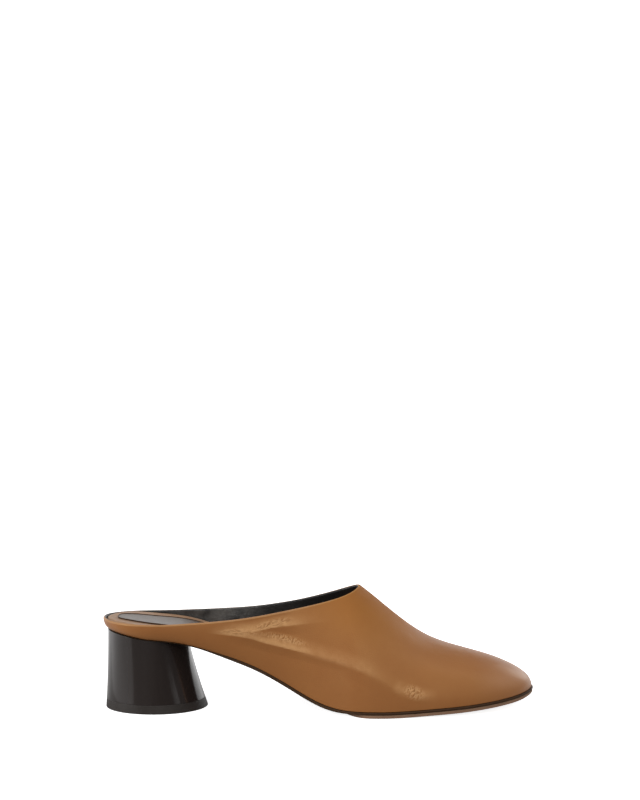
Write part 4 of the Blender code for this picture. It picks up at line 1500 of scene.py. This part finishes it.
def rise(tree, value, start, stop, low, high):
    """A smooth rise of a value between two marks."""
    node = add(tree, "MapRange", {"interpolation_type": "SMOOTHSTEP"}, Value=value, To_Min=low, To_Max=high)
    node.inputs["From Min"].default_value = start
    node.inputs["From Max"].default_value = stop
    return node.outputs["Result"]


backdrop = rise(room, direction.outputs["Y"], 0.1, 0.7, 0.0, 0.95)
low_only = rise(room, direction.outputs["Z"], 0.35, 0.10, 0.15, 1.0)
front_side = rise(room, direction.outputs["Y"], 0.6, -0.1, 0.0, 1.0)
from_above = rise(room, direction.outputs["Z"], 0.10, 0.55, 0.0, 0.76)
low_back = maths(room, "MULTIPLY", backdrop, low_only)
high_front = maths(room, "MULTIPLY", front_side, from_above)
level = maths(room, "MAXIMUM", low_back, high_front)
level = maths(room, "ADD", level, 0.10)
light_path = add(room, "LightPath")
level = maths(room, "MAXIMUM", level, light_path.outputs["Is Camera Ray"])
room.links.new(level, room.nodes["Background"].inputs["Strength"])
room.nodes["Background"].inputs["Color"].default_value = (1.0, 1.0, 1.0, 1)
print(world.name, "is drawn with", len(room.nodes), "nodes")

# %% [markdown]
# ### Lamps and cards
#
# All lamps are rectangles, because points would draw hard dots on the lacquer. A long strip in front, a
# large one overhead and one high behind the toe light the leather. The cards at the sides are what the
# heel mirrors: two on the left for its left half, and a small dim one on the right for a short streak.

# %% Lights


def soft_light(name, place_at, look_at, width, height, power):
    """A large rectangle of light that faces a point."""
    light = bpy.data.lights.new(name, "AREA")
    light.shape = "RECTANGLE"
    light.size, light.size_y, light.energy = width, height, power
    lamp = bpy.data.objects.new(name, light)
    lamp.location = place_at
    lamp.rotation_mode = "QUATERNION"
    lamp.rotation_quaternion = (Vector(look_at) - Vector(place_at)).to_track_quat("-Z", "Y")
    bpy.context.scene.collection.objects.link(lamp)
    print(name, "is", width, "by", height, "m and has", power, "W")
    return lamp


soft_light("front_strip", (0.17, -1.6, 0.60), (0.0, 0.0, 0.03), 1.15, 0.36, 4.8)
soft_light("overhead", (0.95, -0.15, 1.25), (0.05, 0.0, 0.0), 1.0, 1.2, 1.8)
soft_light("high_right", (1.2, 1.2, 0.78), (0.12, 0.0, 0.02), 0.7, 0.7, 3.0)
soft_light("card_left", (-1.6, -0.15, 0.35), (-0.1, 0.0, 0.03), 1.8, 1.0, 10.0)
soft_light("card_left_front", (-1.45, -0.72, 0.35), (-0.1, 0.0, 0.03), 0.55, 1.0, 5.5)
soft_light("card_right", (0.862, -0.625, 0.30), (-0.1, 0.0, 0.03), 0.28, 0.25, 0.16)

# %% [markdown]
# ### The white card on the floor
#
# The camera looks down a little, so the lacquer also mirrors the floor beside the heel. A white card lies
# there, and the heel shows it as a pale band. It faces up, and the way it is turned sets how the band's
# edge runs. It shows in the gloss alone, and the camera doesn't see it.

# %% The card beside the heel
floor_card = soft_light("floor_card", (-0.420, -0.082, 0.001), (-0.420, -0.082, 1.0), 0.48, 0.35, 0.20)
floor_card.rotation_quaternion = Euler((math.pi, 0.0, math.radians(44.0))).to_quaternion()
floor_card.visible_camera = False
floor_card.visible_diffuse = False

# %% [markdown]
# ## The camera
#
# The camera stands square to the shoe's outer side, a little over a metre away, and looks down by about two
# degrees. Its place was found from the near and the far edge of the collar: only one height shows that
# much of the lining and of the sock pad. A long lens keeps the near and the far side at nearly one scale.
# The view transform is the plain one, so that the colours of the leather come out as they were mixed.

# %% Camera
CAMERA_AT = (0.0007, -1.1, 0.220)
LOOKS_DOWN = 2.22
LENS = 85.725
camera = bpy.data.objects.new("camera", bpy.data.cameras.new("camera"))
camera.location = CAMERA_AT
camera.rotation_euler = (math.radians(90.0 - LOOKS_DOWN), 0.0, 0.0)
camera.data.sensor_width = 36.0
camera.data.lens = LENS
camera.data.clip_start = 0.01
camera.data.clip_end = 20.0
bpy.context.scene.collection.objects.link(camera)
bpy.context.scene.camera = camera
bpy.context.scene.view_settings.view_transform = "Standard"
print("camera at", CAMERA_AT, "m, looking down by", LOOKS_DOWN, "degrees")

# %% [markdown]
# ## Sizes at the end
#
# The dressed shoe has to keep the size of its solids, or it would no longer fit what was planned around
# it. Both boxes are printed so that they can be compared.

# %% Measure and print both boxes
bpy.context.view_layer.update()
dressed_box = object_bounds()
boxes = {}
for name, box in (("solids", solid_box), ("dressed", dressed_box)):
    boxes[name] = [list(corner) for corner in box]
for name, box in boxes.items():
    print(name, [round(1000 * (box[1][i] - box[0][i]), 1) for i in range(3)], "mm")
